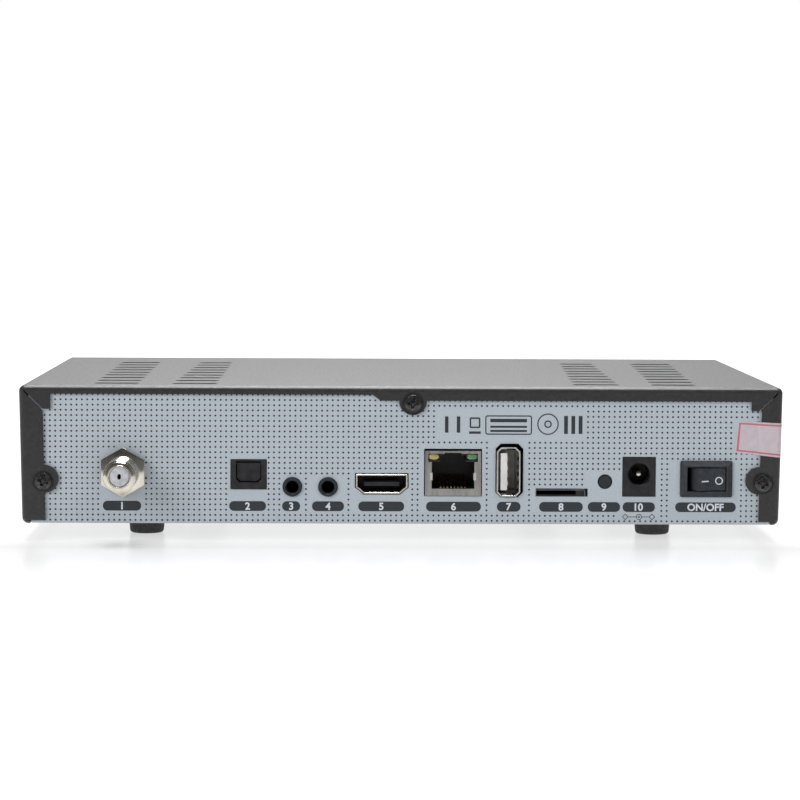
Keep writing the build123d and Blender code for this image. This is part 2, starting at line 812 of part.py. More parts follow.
def make_inner_screws():
    """Like zinc screws: board to standoffs, front panel to tray, display board to front panel."""
    seats = [Plane((x, y, board_z), x_dir=(1, 0, 0), z_dir=(0, 0, 1)) for x, y in board_screws_at]
    tray_seat_y = front_edge_y + tray_sheet
    display_seat_y = display_board_y + display_board_thickness
    seats += [Plane((x, tray_seat_y, z), x_dir=(1, 0, 0), z_dir=(0, 1, 0)) for x, z in fascia_screws_at]
    seats += [Plane((x, display_seat_y, z), x_dir=(1, 0, 0), z_dir=(0, 1, 0)) for x, z in display_screws_at]
    return group(
        pan_screw(
            seat, inner_screw_radius, inner_screw_length, inner_screw_head_radius, inner_screw_head_height)
        for seat in seats)


# ---- Aerial socket and tuner -------------------------------------------------------------
tuner_rear_y = panel_inside_y - aerial_collar_height
tuner_front_y = tuner_rear_y - tuner_depth
tuner_x = (aerial_x - tuner_inner_side, aerial_x + tuner_outer_side)
barrel_end_y = tuner_rear_y - aerial_tail
aerial_root_radius = aerial_radius - aerial_root_depth


def make_f_connector_body():
    """Threaded barrel of the aerial socket, with a collar that clamps the panel from inside."""
    tip_y = panel_y + aerial_reach
    thread_y = panel_y + washer_thickness + nut_thickness + aerial_neck
    body = rod_y(aerial_x, aerial_z, aerial_radius, (thread_y, tip_y))
    body = chamfer(body.edges().sort_by(Axis.Y)[-1], aerial_tip_chamfer)
    body += rod_y(aerial_x, aerial_z, aerial_root_radius, (barrel_end_y, thread_y))
    body += rod_y(aerial_x, aerial_z, aerial_collar_radius, (tuner_rear_y, panel_inside_y))
    return body - rod_y(aerial_x, aerial_z, aerial_bore_radius, (barrel_end_y - 1, tip_y + 1))


def make_f_connector_nut():
    """Hexagon nut that pulls the barrel's collar against the panel."""
    low = panel_y + washer_thickness
    hexagon = Pos(aerial_x, aerial_z) * RegularPolygon(
        nut_across_flats / 2, 6, major_radius=False, rotation=30)
    nut = prism_y(hexagon, (low, low + nut_thickness))
    crown = Pos(aerial_x, low, aerial_z) * Rot(-90, 0, 0) * Cone(
        nut_across_flats / 2 + nut_thickness * 1.9, nut_across_flats / 2 + 0.15, nut_thickness,
        align=(MID, MID, LOW))
    nut &= crown
    return nut - rod_y(aerial_x, aerial_z, aerial_root_radius + nut_fit, (low - 1, low + nut_thickness + 1))


def make_f_connector_washer():
    """Flat washer between the nut and the panel."""
    ring = (panel_y, panel_y + washer_thickness)
    washer = rod_y(aerial_x, aerial_z, washer_radius, ring)
    return washer - rod_y(aerial_x, aerial_z, aerial_radius + cutout_gap, (ring[0] - 1, ring[1] + 1))


def make_f_connector_insulator():
    """White plug that fills the barrel, with a slot for the cable's core and room for its spring."""
    front = panel_y + aerial_reach - aerial_tip_recess
    body = rod_y(aerial_x, aerial_z, aerial_bore_radius - insert_fit, (barrel_end_y, front))
    slot = Pos(aerial_x, aerial_z) * Rot(0, 0, 90) * SlotOverall(aerial_slot_height, aerial_slot_width)
    body -= prism_y(slot, (front - aerial_slot_depth, front + 1))
    pocket_x = about(aerial_x, contact_opening + 2 * contact_strip + 4 * insert_fit)
    pocket_z = about(aerial_z, contact_height + 2 * insert_fit)
    return body - block(pocket_x, (barrel_end_y - 1, front - aerial_slot_depth), pocket_z)


def make_f_connector_contact():
    """Spring clip that grips the cable's core, with a tail on the tuner's board."""
    front = panel_y + aerial_reach - aerial_tip_recess - aerial_slot_depth - insert_fit
    half = contact_opening / 2 + contact_strip
    z = about(aerial_z, contact_height)
    clip = block((aerial_x - half, aerial_x + half), (barrel_end_y, front), z)
    clip -= block(about(aerial_x, contact_opening), (barrel_end_y + contact_strip, front + 1), z)
    tail_x = about(aerial_x, contact_opening)
    return clip + block(tail_x, (barrel_end_y - contact_tail, barrel_end_y), z)


def make_tuner_frame():
    """Tinned frame round the tuner, soldered to the board, with the barrel through its rear wall."""
    z = (board_z, board_z + tuner_height)
    frame = block(tuner_x, (tuner_front_y, tuner_rear_y), z)
    inside_x = (tuner_x[0] + tuner_sheet, tuner_x[1] - tuner_sheet)
    inside_y = (tuner_front_y + tuner_sheet, tuner_rear_y - tuner_sheet)
    frame -= block(inside_x, inside_y, (z[0] - 1, z[1] + 1))
    return frame - rod_y(
        aerial_x, aerial_z, aerial_root_radius + insert_fit,
        (tuner_rear_y - tuner_sheet - 1, tuner_rear_y + 1))


def make_tuner_lid():
    """Lid of the tuner can, with rims that grip three sides of the frame."""
    top = board_z + tuner_height
    fit = tuner_lid_fit
    x = (tuner_x[0] - fit - tuner_sheet, tuner_x[1] + fit + tuner_sheet)
    front = tuner_front_y - fit - tuner_sheet
    lid = block(x, (front, tuner_rear_y), (top - tuner_lid_rim, top + tuner_sheet))
    inside_x = (tuner_x[0] - fit, tuner_x[1] + fit)
    return lid - block(inside_x, (tuner_front_y - fit, tuner_rear_y + 1), (top - tuner_lid_rim - 1, top))


def make_tuner_board():
    """Small circuit board across the tuner frame."""
    top = aerial_z - contact_height / 2
    x = (tuner_x[0] + tuner_sheet + insert_fit, tuner_x[1] - tuner_sheet - insert_fit)
    y = (tuner_front_y + tuner_sheet + insert_fit, barrel_end_y - insert_fit)
    return block(x, y, (top - tuner_board_thickness, top))


# ---- Optical socket ------------------------------------------------------------------------
optical_top_z = optical_z + optical_height
optical_face_y = panel_y + optical_proud
shutter_half = shutter_width / 2
cavity_half = shutter_half + shutter_gap
cavity_z = (optical_z + optical_floor, optical_top_z - optical_roof)
shutter_axis_z = cavity_z[1] - shutter_gap - shutter_thickness / 2
shutter_axis_y = optical_face_y - shutter_recess - shutter_thickness / 2


def chamfered_door(half, z, cut):
    """Door outline with its two lower corners cut off."""
    return corners(
        (optical_x - half, z[1]), (optical_x - half, z[0] + cut), (optical_x - half + cut, z[0]),
        (optical_x + half - cut, z[0]), (optical_x + half, z[0] + cut), (optical_x + half, z[1]))


def make_optical_port_housing():
    """Black moulding with a chamfered mouth and holes for the shutter's pin."""
    rear = body_y - optical_depth
    x = about(optical_x, optical_width)
    housing = block(x, (rear, optical_face_y), (optical_z, optical_top_z))
    housing += block(x, (rear, body_y), (board_z, optical_z))
    mouth = chamfered_door(cavity_half, cavity_z, shutter_chamfer)
    back = optical_face_y - optical_cavity_depth
    housing -= prism_y(mouth, (back, optical_face_y + 1))
    pin_hole = cavity_half + shutter_pin_reach
    housing -= rod_x(
        shutter_axis_y, shutter_axis_z, shutter_pin_radius + shutter_pin_fit,
        about(optical_x, 2 * pin_hole))
    return housing - rod_y(optical_x, optical_z + optical_height / 2, emitter_radius + insert_fit,
                           (back - emitter_length, back + 1))


def make_optical_port_shutter():
    """Sprung flap that closes the optical socket and swings in on a pin along its top edge."""
    z = (cavity_z[0] + shutter_gap, shutter_axis_z)
    y = about(shutter_axis_y, shutter_thickness)
    flap = prism_y(chamfered_door(shutter_half, z, shutter_chamfer), y)
    flap += rod_x(shutter_axis_y, shutter_axis_z, shutter_thickness / 2, about(optical_x, shutter_width))
    ridge_z = shutter_axis_z - shutter_ridge_drop
    flap += block(
        about(optical_x, shutter_width - 2 * shutter_chamfer),
        (y[1], y[1] + shutter_ridge / 2), about(ridge_z, shutter_ridge))
    reach = 2 * (cavity_half + shutter_pin_reach) - 2 * shutter_pin_fit
    return flap + rod_x(shutter_axis_y, shutter_axis_z, shutter_pin_radius, about(optical_x, reach))


def make_optical_port_emitter():
    """Clear light source at the back of the optical socket."""
    back = optical_face_y - optical_cavity_depth
    return rod_y(optical_x, optical_z + optical_height / 2, emitter_radius, (back - emitter_length, back))


# ---- Round jacks ---------------------------------------------------------------------------
def round_jack(x):
    """3.5 mm jack: a block on the board with a round nose through the panel."""
    body = block(
        about(x, jack_body_width), (body_y - jack_body_depth, body_y),
        (board_z, board_z + jack_body_height))
    nose_y = panel_y + jack_nose_proud
    body += rod_y(x, jack_z, jack_nose_radius, (body_y, nose_y))
    body -= rod_y(x, jack_z, jack_bore_radius, (nose_y - jack_bore_depth, nose_y + 1))
    mouth = body.faces().sort_by(Axis.Y)[-1].edges().filter_by(GeomType.CIRCLE).sort_by(SortBy.RADIUS)[0]
    return chamfer(mouth, jack_mouth_chamfer)


def make_av_jack():
    """Round jack for analogue picture and sound."""
    return round_jack(av_x)


def make_serial_jack():
    """Round jack for the serial line."""
    return round_jack(serial_x)


# ---- Video socket ----------------------------------------------------------------------------
def hdmi_outline():
    """Outside of the video socket's shell in X and Z: a box with stepped and slanted lower corners."""
    half = hdmi_width / 2
    top = hdmi_z + hdmi_height
    side = top - hdmi_side_height
    shoulder = (half - hdmi_shoulder_run, side - hdmi_shoulder_drop)
    foot = half - hdmi_foot_run
    right = [(half, top), (half, side), shoulder, (foot, hdmi_z)]
    points = [(hdmi_x + x, z) for x, z in right] + [(hdmi_x - x, z) for x, z in reversed(right)]
    return corners(*points)


def make_hdmi_shell():
    """Folded shell of the video socket, closed at the back, on four legs."""
    y = (body_y - hdmi_depth, panel_y + hdmi_proud)
    shell = prism_y(hdmi_outline(), y)
    hollow = offset(hdmi_outline(), -hdmi_sheet, kind=Kind.INTERSECTION)
    shell -= prism_y(hollow, (y[0] + hdmi_sheet, y[1] + 1))
    leg = hdmi_width / 2 - hdmi_foot_run - hdmi_leg_width / 2
    for side in (1, -1):
        for back in (body_y - hdmi_leg_width, y[0] + 2 * hdmi_leg_width):
            shell += block(
                about(hdmi_x + side * leg, hdmi_leg_width), (back - hdmi_leg_width, back),
                (board_z, hdmi_z + hdmi_sheet / 2))
    return shell


def make_hdmi_tongue():
    """Plastic block at the back of the video socket, with the contact tongue standing out of it."""
    back = body_y - hdmi_depth + hdmi_sheet + insert_fit
    base = offset(hdmi_outline(), -hdmi_sheet - insert_fit, kind=Kind.INTERSECTION)
    block_y = (back, back + hdmi_base_depth)
    top = hdmi_z + hdmi_height - hdmi_tongue_drop
    tongue = block(
        about(hdmi_x, hdmi_tongue_width), (back, panel_y + hdmi_proud - hdmi_tongue_recess),
        (top - hdmi_tongue_thickness, top))
    return prism_y(base, block_y) + tongue


# ---- Network socket -----------------------------------------------------------------------
ethernet_face_y = panel_y + ethernet_proud
ethernet_z = board_z
ethernet_top_z = board_z + ethernet_height
cavity_floor_z = ethernet_z + ethernet_cavity_rise
cavity_roof_z = cavity_floor_z + ethernet_cavity_height
latch_roof_z = cavity_roof_z + ethernet_latch_height


def ethernet_mouth(margin):
    """Mouth of the network socket in X and Z: plug, latch and release notch."""
    shape = panel(
        about(ethernet_x, ethernet_cavity_width + 2 * margin),
        (cavity_floor_z - margin, cavity_roof_z + margin))
    shape += panel(
        about(ethernet_x, ethernet_latch_width + 2 * margin), (cavity_roof_z, latch_roof_z + margin))
    shape += panel(
        about(ethernet_x, ethernet_notch_width + 2 * margin),
        (latch_roof_z, latch_roof_z + ethernet_notch_height + margin))
    return shape


def ethernet_light_spans(side, margin):
    """X and Z spans of one status light, grown by the margin."""
    outer = ethernet_width / 2 - ethernet_light_inset
    inner = outer - ethernet_light_width
    x = (ethernet_x + side * (outer + margin), ethernet_x + side * (inner - margin))
    low = cavity_roof_z + ethernet_light_rise
    return x, (low - margin, low + ethernet_light_height + margin)


def make_ethernet_shell():
    """Tinned shield of the network socket: a box, open below, with a framed face."""
    x = about(ethernet_x, ethernet_width)
    y = (body_y - ethernet_depth, ethernet_face_y)
    shell = block(x, y, (ethernet_z, ethernet_top_z))
    inside = (x[0] + ethernet_sheet, x[1] - ethernet_sheet)
    shell -= block(
        inside, (y[0] + ethernet_sheet, y[1] - ethernet_sheet),
        (ethernet_z - 1, ethernet_top_z - ethernet_sheet))
    through = (y[1] - 2 * ethernet_sheet, y[1] + 1)
    lights_end_x, lights_z = ethernet_light_spans(1, insert_fit)
    lights_band = panel((2 * ethernet_x - lights_end_x[0], lights_end_x[0]), (cavity_roof_z, lights_z[1]))
    return shell - prism_y(ethernet_mouth(insert_fit) + lights_band, through)


def make_ethernet_insert():
    """Black body of the network socket, with the plug's cavity and seats for the lights."""
    fit = ethernet_sheet + insert_fit
    x = (ethernet_x - ethernet_width / 2 + fit, ethernet_x + ethernet_width / 2 - fit)
    y = (body_y - ethernet_depth + fit, ethernet_face_y - fit)
    insert = block(x, y, (ethernet_z, ethernet_top_z - fit))
    insert -= prism_y(ethernet_mouth(0), (ethernet_face_y - ethernet_cavity_depth, ethernet_face_y))
    for side in (1, -1):
        light_x, light_z = ethernet_light_spans(side, insert_fit)
        insert -= block(light_x, (ethernet_face_y - ethernet_light_depth, ethernet_face_y), light_z)
    return insert


def make_ethernet_contacts():
    """Eight gilt wires that slant up from the mouth's lower edge towards the back."""
    solids = []
    y = ethernet_face_y - ethernet_pin_start
    floor = cavity_floor_z
    back = (y - ethernet_pin_slant, floor + ethernet_pin_rise)
    for number in range(ethernet_pin_count):
        middle = ethernet_x + (number - (ethernet_pin_count - 1) / 2) * ethernet_pin_pitch
        side_view = corners(
            (y, floor), (y, floor + ethernet_pin_thickness),
            (back[0], back[1] + ethernet_pin_thickness), back, (y - ethernet_pin_thickness * 2, floor))
        solids.append(prism_x(side_view, about(middle, ethernet_pin_width)))
    return group(solids)


def ethernet_light(side):
    """Light pipe in an upper corner of the network socket."""
    x, z = ethernet_light_spans(side, 0)
    y = (ethernet_face_y - ethernet_light_depth + insert_fit, ethernet_face_y)
    pipe = block(x, y, z)
    outer_edges = pipe.faces().sort_by(Axis.Y)[-1].edges()
    return chamfer(outer_edges, ethernet_sheet)


def make_ethernet_amber_light():
    """Amber light of the network socket."""
    return ethernet_light(1)


def make_ethernet_green_light():
    """Green light of the network socket."""
    return ethernet_light(-1)


# ---- USB socket ------------------------------------------------------------------------------
def usb_section(width, height, cut):
    """Cross-section of the USB socket, standing on its side."""
    return chamfered_panel(about(usb_x, width), about(usb_z, height), cut)


def usb_flare(grow, cut):
    """Solid between the shell's mouth and the wider, flared rim, grown or shrunk all round."""
    near = usb_section(usb_width + grow, usb_height + grow, cut)
    far = usb_section(usb_flare_width + grow, usb_flare_height + grow, usb_flare_chamfer)
    return loft([face_x_z(near, panel_y).face(), face_x_z(far, panel_y + usb_flare_length).face()])


def make_usb_shell():
    """Tinned shell of the USB socket, with a flared rim outside the panel and legs on the board."""
    back = body_y - usb_depth
    corner = usb_sheet * 1.5
    shell = prism_y(usb_section(usb_width, usb_height, corner), (back, panel_y)) + usb_flare(0, corner)
    hollow = usb_section(usb_width - 2 * usb_sheet, usb_height - 2 * usb_sheet, corner / 2)
    shell -= prism_y(hollow, (back + usb_sheet, panel_y))
    shell -= usb_flare(-2 * usb_sheet, corner / 2)
    for leg_y in (body_y - usb_leg_width, back + 2 * usb_leg_width):
        shell += block(
            about(usb_x, usb_width - 2 * corner), (leg_y - usb_leg_width, leg_y),
            (board_z, board_z + usb_rise + usb_sheet / 2))
    return shell


usb_tongue_x = about(usb_x + usb_tongue_shift, usb_tongue_thickness)


def make_usb_tongue():
    """White plastic base and tongue of the USB socket."""
    back = body_y - usb_depth + usb_sheet + insert_fit
    fit = 2 * (usb_sheet + insert_fit)
    base = prism_y(
        usb_section(usb_width - fit, usb_height - fit, usb_sheet), (back, back + usb_base_depth))
    return base + block(
        usb_tongue_x, (back, panel_y + usb_flare_length - usb_tongue_recess), about(usb_z, usb_tongue_height))


def make_usb_contacts():
    """Four gilt strips on the tongue."""
    front = panel_y + usb_flare_length - usb_tongue_recess - usb_pin_recess
    x = (usb_tongue_x[0] - usb_pin_thickness, usb_tongue_x[0])
    return group(
        block(x, (front - usb_pin_length, front), about(usb_z + height, usb_pin_width))
        for height in usb_pin_heights)


# ---- Memory-card slot --------------------------------------------------------------------------
card_low_x = card_x - card_width / 2 + (card_cutout_width - card_width) / 2
card_span = (card_low_x, card_low_x + card_width)
card_rear_y = body_y - card_depth


def make_card_slot_shell():
    """Thin steel cover over the card slot."""
    y = (card_rear_y, panel_y + card_proud)
    shell = block(card_span, y, (board_z, board_z + card_height))
    inside = (card_span[0] + card_sheet, card_span[1] - card_sheet)
    inside_z = (board_z - 1, board_z + card_height - card_sheet)
    return shell - block(inside, (y[0] + card_sheet, y[1] + 1), inside_z)


def make_card_slot_base():
    """Plastic floor of the card slot, with the spring latch's housing beside the card."""
    fit = card_sheet + insert_fit
    x = (card_span[0] + fit, card_span[1] - fit)
    y = (card_rear_y + fit, panel_y)
    base = block(x, y, (board_z, board_z + card_height - fit))
    mouth_x = (x[1] - card_slot_width, x[1] + 1)
    mouth_z = (board_z + card_floor, board_z + card_height)
    return base - block(mouth_x, (panel_y - card_slot_depth, panel_y + 1), mouth_z)


# ---- Recovery push switch ------------------------------------------------------------------------
def make_recovery_switch_body():
    """Right-angle push switch on the board, with a bore for its button."""
    body = block(
        about(recovery_x, recovery_body_width), (body_y - recovery_body_depth, body_y),
        (board_z, board_z + recovery_body_height))
    bore_end = panel_y - recovery_button_recess - recovery_button_length - 2 * recovery_travel
    bore = rod_y(recovery_x, recovery_z, recovery_button_radius + recovery_bore_gap, (bore_end, body_y + 1))
    return body - bore


def make_recovery_button():
    """Round button that is pressed through the panel."""
    face_y = panel_y - recovery_button_recess
    button = rod_y(recovery_x, recovery_z, recovery_button_radius, (face_y - recovery_button_length, face_y))
    return fillet(button.edges().sort_by(Axis.Y)[-1], recovery_button_radius / 8)


# ---- Power socket ------------------------------------------------------------------------------
power_face_y = panel_y + power_proud
power_bore_end_y = power_face_y - power_bore_depth


def make_power_jack_body():
    """Block of the power socket, with a round bore for the barrel plug."""
    body = block(
        about(power_x, power_width), (power_face_y - power_depth, power_face_y),
        (board_z, board_z + power_height))
    body -= rod_y(power_x, power_bore_z, power_bore_radius, (power_bore_end_y, power_face_y + 1))
    rim = body.faces().sort_by(Axis.Y)[-1].edges().filter_by(GeomType.CIRCLE)
    body = chamfer(rim, power_mouth_chamfer)
    root = (power_bore_end_y - power_pin_root, power_bore_end_y + 1)
    return body - rod_y(power_x, power_bore_z, power_pin_radius + power_pin_fit, root)


def make_power_jack_pin():
    """Bright centre pin, rooted in the back of the power socket."""
    tip = power_face_y - power_pin_recess
    pin = rod_y(power_x, power_bore_z, power_pin_radius, (power_bore_end_y - power_pin_root, tip))
    return fillet(pin.edges().sort_by(Axis.Y)[-1], power_pin_radius * 0.8)


# ---- Rocker switch ------------------------------------------------------------------------------
rim_y = panel_y + bezel_thickness
rocker_half_throw = rocker_throw / 2
pivot_y = rim_y - rocker_face_drop - rocker_face_height * cos(radians(rocker_half_throw))
rocker_z = about(switch_z, aperture_height - 2 * rocker_side_gap)


def make_switch_housing():
    """Black snap-in housing: a sloped bezel, a hollow body and two latches behind the panel."""
    x = about(switch_x, bezel_width)
    z = about(switch_z, bezel_height)
    base = panel(x, z)
    housing = prism_y(fillet(base.vertices(), bezel_edge), (panel_y, panel_y + bezel_edge))
    upper = panel(
        about(switch_x, bezel_width - 2 * bezel_slope), about(switch_z, bezel_height - 2 * bezel_slope))
    housing += loft([face_x_z(base, panel_y + bezel_edge).face(), face_x_z(upper, rim_y).face()]) & prism_y(
        fillet(base.vertices(), bezel_edge), (panel_y, rim_y))
    body_end = panel_y - switch_body_depth
    housing += block(
        about(switch_x, switch_body_width), (body_end, panel_y), about(switch_z, switch_body_height))
    for side in (1, -1):
        wall = switch_x + side * switch_body_width / 2
        first = panel_inside_y - cutout_gap
        latch = corners(
            (wall, first), (wall + side * latch_reach, first), (wall, first - latch_length))
        housing += prism_z(latch, about(switch_z, latch_height))
    housing -= block(
        about(switch_x, aperture_width), (panel_y - switch_cavity_depth, rim_y + 1),
        about(switch_z, aperture_height))
    reach = aperture_height + 2 * (rocker_pin_reach + rocker_pin_fit)
    housing -= rod_z(switch_x, pivot_y, rocker_pin_radius + rocker_pin_fit, about(switch_z, reach))
    for side in (1, -1):
        slot = block(
            about(switch_x + side * terminal_spacing / 2, terminal_thickness + 2 * insert_fit),
            (body_end - 1, body_end + terminal_root), about(switch_z, terminal_width + 2 * insert_fit))
        housing -= slot
    return housing


def make_switch_rocker():
    """Rocker with two slanted faces, at rest with the half on the case's side pressed in.

    In the middle position each face rises outwards by half the throw; the solid is then turned
    about its pivot by half the throw, which lays the pressed face flat.
    """
    rise = radians(rocker_half_throw)
    tip = (rocker_arm * cos(rise), rocker_face_height + rocker_arm * sin(rise))
    foot = (tip[0] + rocker_skirt * sin(rise), tip[1] - rocker_skirt * cos(rise))
    hub = (rocker_hub_half_width, -rocker_hub_drop)
    points = [
        (0, rocker_face_height), tip, foot, hub,
        (-hub[0], hub[1]), (-foot[0], foot[1]), (-tip[0], tip[1])]
    middle = prism_z(corners(*points), rocker_z)
    turned = Pos(switch_x, pivot_y, 0) * Rot(0, 0, rocker_half_throw) * middle
    reach = aperture_height + 2 * rocker_pin_reach
    return turned + rod_z(switch_x, pivot_y, rocker_pin_radius, about(switch_z, reach))


def make_switch_terminals():
    """Two brass solder lugs in the housing's floor."""
    start = panel_y - switch_body_depth + terminal_root
    end = panel_y - switch_body_depth - terminal_length
    return group(
        block(about(switch_x + side * terminal_spacing / 2, terminal_thickness), (end, start),
              about(switch_z, terminal_width))
        for side in (1, -1))


def make_switch_wires():
    """Two insulated wires, soldered to the lugs' ends, that arch over and down to the board."""
    start_y = panel_y - switch_body_depth - terminal_length
    landing_y = inward(wire_landing_depth)
    top = board_z + wire_arch_height
    wires = []
    for side in (1, -1):
        lug_x = switch_x + side * terminal_spacing / 2
        pad_x = switch_x + side * wire_landing_spacing / 2
        route = FilletPolyline(
            (lug_x, start_y, switch_z), (lug_x, start_y - wire_straight, switch_z),
            ((lug_x + pad_x) / 2, (start_y + landing_y) / 2 - wire_straight / 2, top),
            (pad_x, landing_y, top - wire_bend / 2), (pad_x, landing_y, board_z), radius=wire_bend)
        section = Plane(route @ 0, z_dir=route % 0) * Circle(wire_radius)
        wires.append(sweep(section, path=route))
    return group(wires)


# ---- Parts on the main board -----------------------------------------------------------------
def make_main_board():
    """Circuit board that carries the connector row and the electronics."""
    z = (board_bottom_z, board_z)
    board = block((-board_half, board_half), (board_front_y, board_rear_y), z)
    board = fillet(board.edges().filter_by(Axis.Z), board_thickness)
    for x, y in board_screws_at:
        board -= rod_z(x, y, inner_screw_radius + screw_clearance, (z[0] - 1, z[1] + 1))
    return board


def make_board_standoffs():
    """Tapped posts pressed into the tray's floor."""
    posts = []
    for x, y in board_screws_at:
        post = rod_z(x, y, standoff_radius, (floor_z, board_bottom_z))
        post += rod_z(x, y, standoff_spigot_radius, (low_z, floor_z))
        posts.append(post - rod_z(x, y, inner_screw_radius + screw_fit, (low_z - 1, board_z)))
    return group(posts)


processor_y = inward(processor_depth)


def make_board_chips():
    """Main chip under the heat sink, and two memory chips beside it."""
    main_chip = block(
        about(processor_x, processor_size), about(processor_y, processor_size),
        (board_z, board_z + processor_thickness))
    chip_x = processor_x + memory_offset
    memory = [
        block(about(chip_x, memory_width), about(processor_y + side * memory_pitch / 2, memory_length),
              (board_z, board_z + memory_thickness))
        for side in (1, -1)
    ]
    return group([main_chip, *memory])


def make_heatsink():
    """Finned aluminium block on the main chip."""
    low = board_z + processor_thickness
    x = about(processor_x, heatsink_size)
    y = about(processor_y, heatsink_size)
    sink = block(x, y, (low, low + heatsink_height))
    pitch = (heatsink_size - heatsink_fin) / (heatsink_fins - 1)
    for number in range(heatsink_fins - 1):
        start = x[0] + heatsink_fin + number * pitch
        sink -= block(
            (start, start + pitch - heatsink_fin), (y[0] - 1, y[1] + 1),
            (low + heatsink_base, low + heatsink_height + 1))
    return sink


def make_capacitors():
    """Electrolytic cans in a row behind the power socket."""
    cans = []
    for number in range(can_count):
        x = power_x + number * can_pitch
        can = rod_z(x, inward(can_row_depth), can_radius, (board_z, board_z + can_height))
        cans.append(fillet(can.edges().sort_by(Axis.Z)[-1], can_rim))
    return group(cans)


def make_inductors():
    """Power coils in square ferrite cases."""
    coils = []
    for number in range(coil_count):
        x = power_x + number * coil_pitch
        coil = block(
            about(x, coil_size), about(inward(coil_row_depth), coil_size), (board_z, board_z + coil_height))
        coils.append(fillet(coil.edges().filter_by(Axis.Z), coil_rounding))
    return group(coils)


# ---- Front panel and what it carries ------------------------------------------------------------
button_columns = {"power": power_button_x, "channel_up": channel_up_x, "channel_down": channel_down_x}
display_back_y = display_board_y + display_board_thickness


def make_front_panel():
    """Moulded front panel: a plate with a rim behind it, screw bosses and openings."""
    y = (front_y, front_edge_y)
    shell = prism_y(case_outline(0, fascia_drop), y)
    shell = fillet(shell.faces().sort_by(Axis.Y)[0].edges(), min(fascia_rounding, fold_radius * 0.9))
    shell -= prism_y(case_outline(fascia_wall, fascia_drop), (plate_back_y, front_edge_y + 1))
    window_z = about(fascia_middle_z, window_height)
    window_x = about(0, window_width)
    shell -= block(
        (window_x[0] - window_gap, window_x[1] + window_gap), (front_y - 1, front_y + window_thickness),
        (window_z[0] - window_gap, window_z[1] + window_gap))
    shell -= block(
        (window_x[0] + window_ledge, window_x[1] - window_ledge), (front_y, plate_back_y + 1),
        (window_z[0] + window_ledge, window_z[1] - window_ledge))
    through = (front_y - 1, plate_back_y + 1)
    for x in button_columns.values():
        shell -= rod_y(x, fascia_middle_z, button_radius + button_gap, through)
    shell -= rod_y(status_light_x, fascia_middle_z, status_light_radius + plunger_gap, through)
    for places, end in ((fascia_screws_at, front_edge_y), (display_screws_at, display_board_y)):
        for x, z in places:
            shell += rod_y(x, z, boss_radius, (plate_back_y, end))
            shell -= rod_y(x, z, inner_screw_radius + screw_fit, (front_y + boss_floor, end + 1))
    return shell


def make_display_window():
    """Smoked window glued into the front panel."""
    window = block(
        about(0, window_width), (front_y, front_y + window_thickness), about(fascia_middle_z, window_height))
    return fillet(window.edges().filter_by(Axis.Y), window_gap * 2)


def make_display_board():
    """Circuit board behind the front panel, on four long bosses."""
    y = (display_board_y, display_back_y)
    board = block(about(0, display_board_width), y, about(fascia_middle_z, display_board_height))
    for x, z in display_screws_at:
        board -= rod_y(x, z, inner_screw_radius + screw_clearance, (y[0] - 1, y[1] + 1))
    return board


def make_led_display():
    """Four-digit display block."""
    return block(
        about(0, led_width), (plate_back_y + led_window_gap, display_board_y),
        about(fascia_middle_z, led_height))


def make_infrared_receiver():
    """Receiver for the remote control, beside the digits."""
    body = block(
        about(receiver_x, receiver_width), (plate_back_y + led_window_gap, display_board_y),
        about(fascia_middle_z, receiver_height))
    return fillet(body.edges().filter_by(Axis.Z).sort_by(Axis.Y)[:2], receiver_width / 4)


def make_status_light():
    """Round indicator that shows through a hole of the front panel."""
    light = rod_y(
        status_light_x, fascia_middle_z, status_light_radius,
        (front_y + status_light_recess, display_board_y))
    return fillet(light.edges().sort_by(Axis.Y)[0], status_light_radius * 0.6)


tact_face_y = display_board_y - tact_height
plunger_tip_y = tact_face_y - plunger_proud


def make_button_switches():
    """Square push switches behind the front buttons."""
    switches = []
    for x in button_columns.values():
        body = block(about(x, tact_size), (tact_face_y, display_board_y), about(fascia_middle_z, tact_size))
        bore_end = plunger_tip_y + plunger_length + 2 * button_travel
        bore = rod_y(x, fascia_middle_z, plunger_radius + plunger_gap, (tact_face_y - 1, bore_end))
        switches.append(body - bore)
    return group(switches)


def button_cap(x):
    """Button: a round cap through the panel, a flange that keeps it in, and a stem to its switch."""
    cap = rod_y(x, fascia_middle_z, button_radius, (front_y - button_proud, plate_back_y + button_flange_gap))
    cap = fillet(cap.edges().sort_by(Axis.Y)[0], button_proud / 2)
    flange_end = plate_back_y + button_flange_gap + button_flange
    cap += rod_y(x, fascia_middle_z, button_flange_radius, (plate_back_y + button_flange_gap, flange_end))
    return cap + rod_y(x, fascia_middle_z, button_stem_radius, (flange_end, plunger_tip_y))


def switch_plunger(x):
    """Plunger of one push switch."""
    return rod_y(x, fascia_middle_z, plunger_radius, (plunger_tip_y, plunger_tip_y + plunger_length))


# ---- Flat cable between the boards ---------------------------------------------------------------
display_socket_z = fascia_middle_z - display_socket_drop
main_socket_y = (board_front_y + socket_edge_gap, board_front_y + socket_edge_gap + socket_depth)


def make_cable_sockets():
    """Sockets for the flat cable, one on each board."""
    x = about(0, socket_width)
    on_display = block(
        x, (display_back_y, display_back_y + socket_depth), about(display_socket_z, socket_height))
    on_board = block(x, main_socket_y, (board_z, board_z + socket_height))
    return group([on_display, on_board])


def make_flat_cable():
    """Flat cable that leaves the display board straight and sinks to the main board's socket."""
    start = display_back_y + socket_depth
    end = main_socket_y[0]
    low = board_z + cable_height
    side_view = FilletPolyline(
        (start, display_socket_z), (start + cable_lead, display_socket_z),
        (end - cable_lead, low), (end, low), radius=cable_bend)
    return prism_x(trace(side_view, cable_thickness), about(0, cable_width))


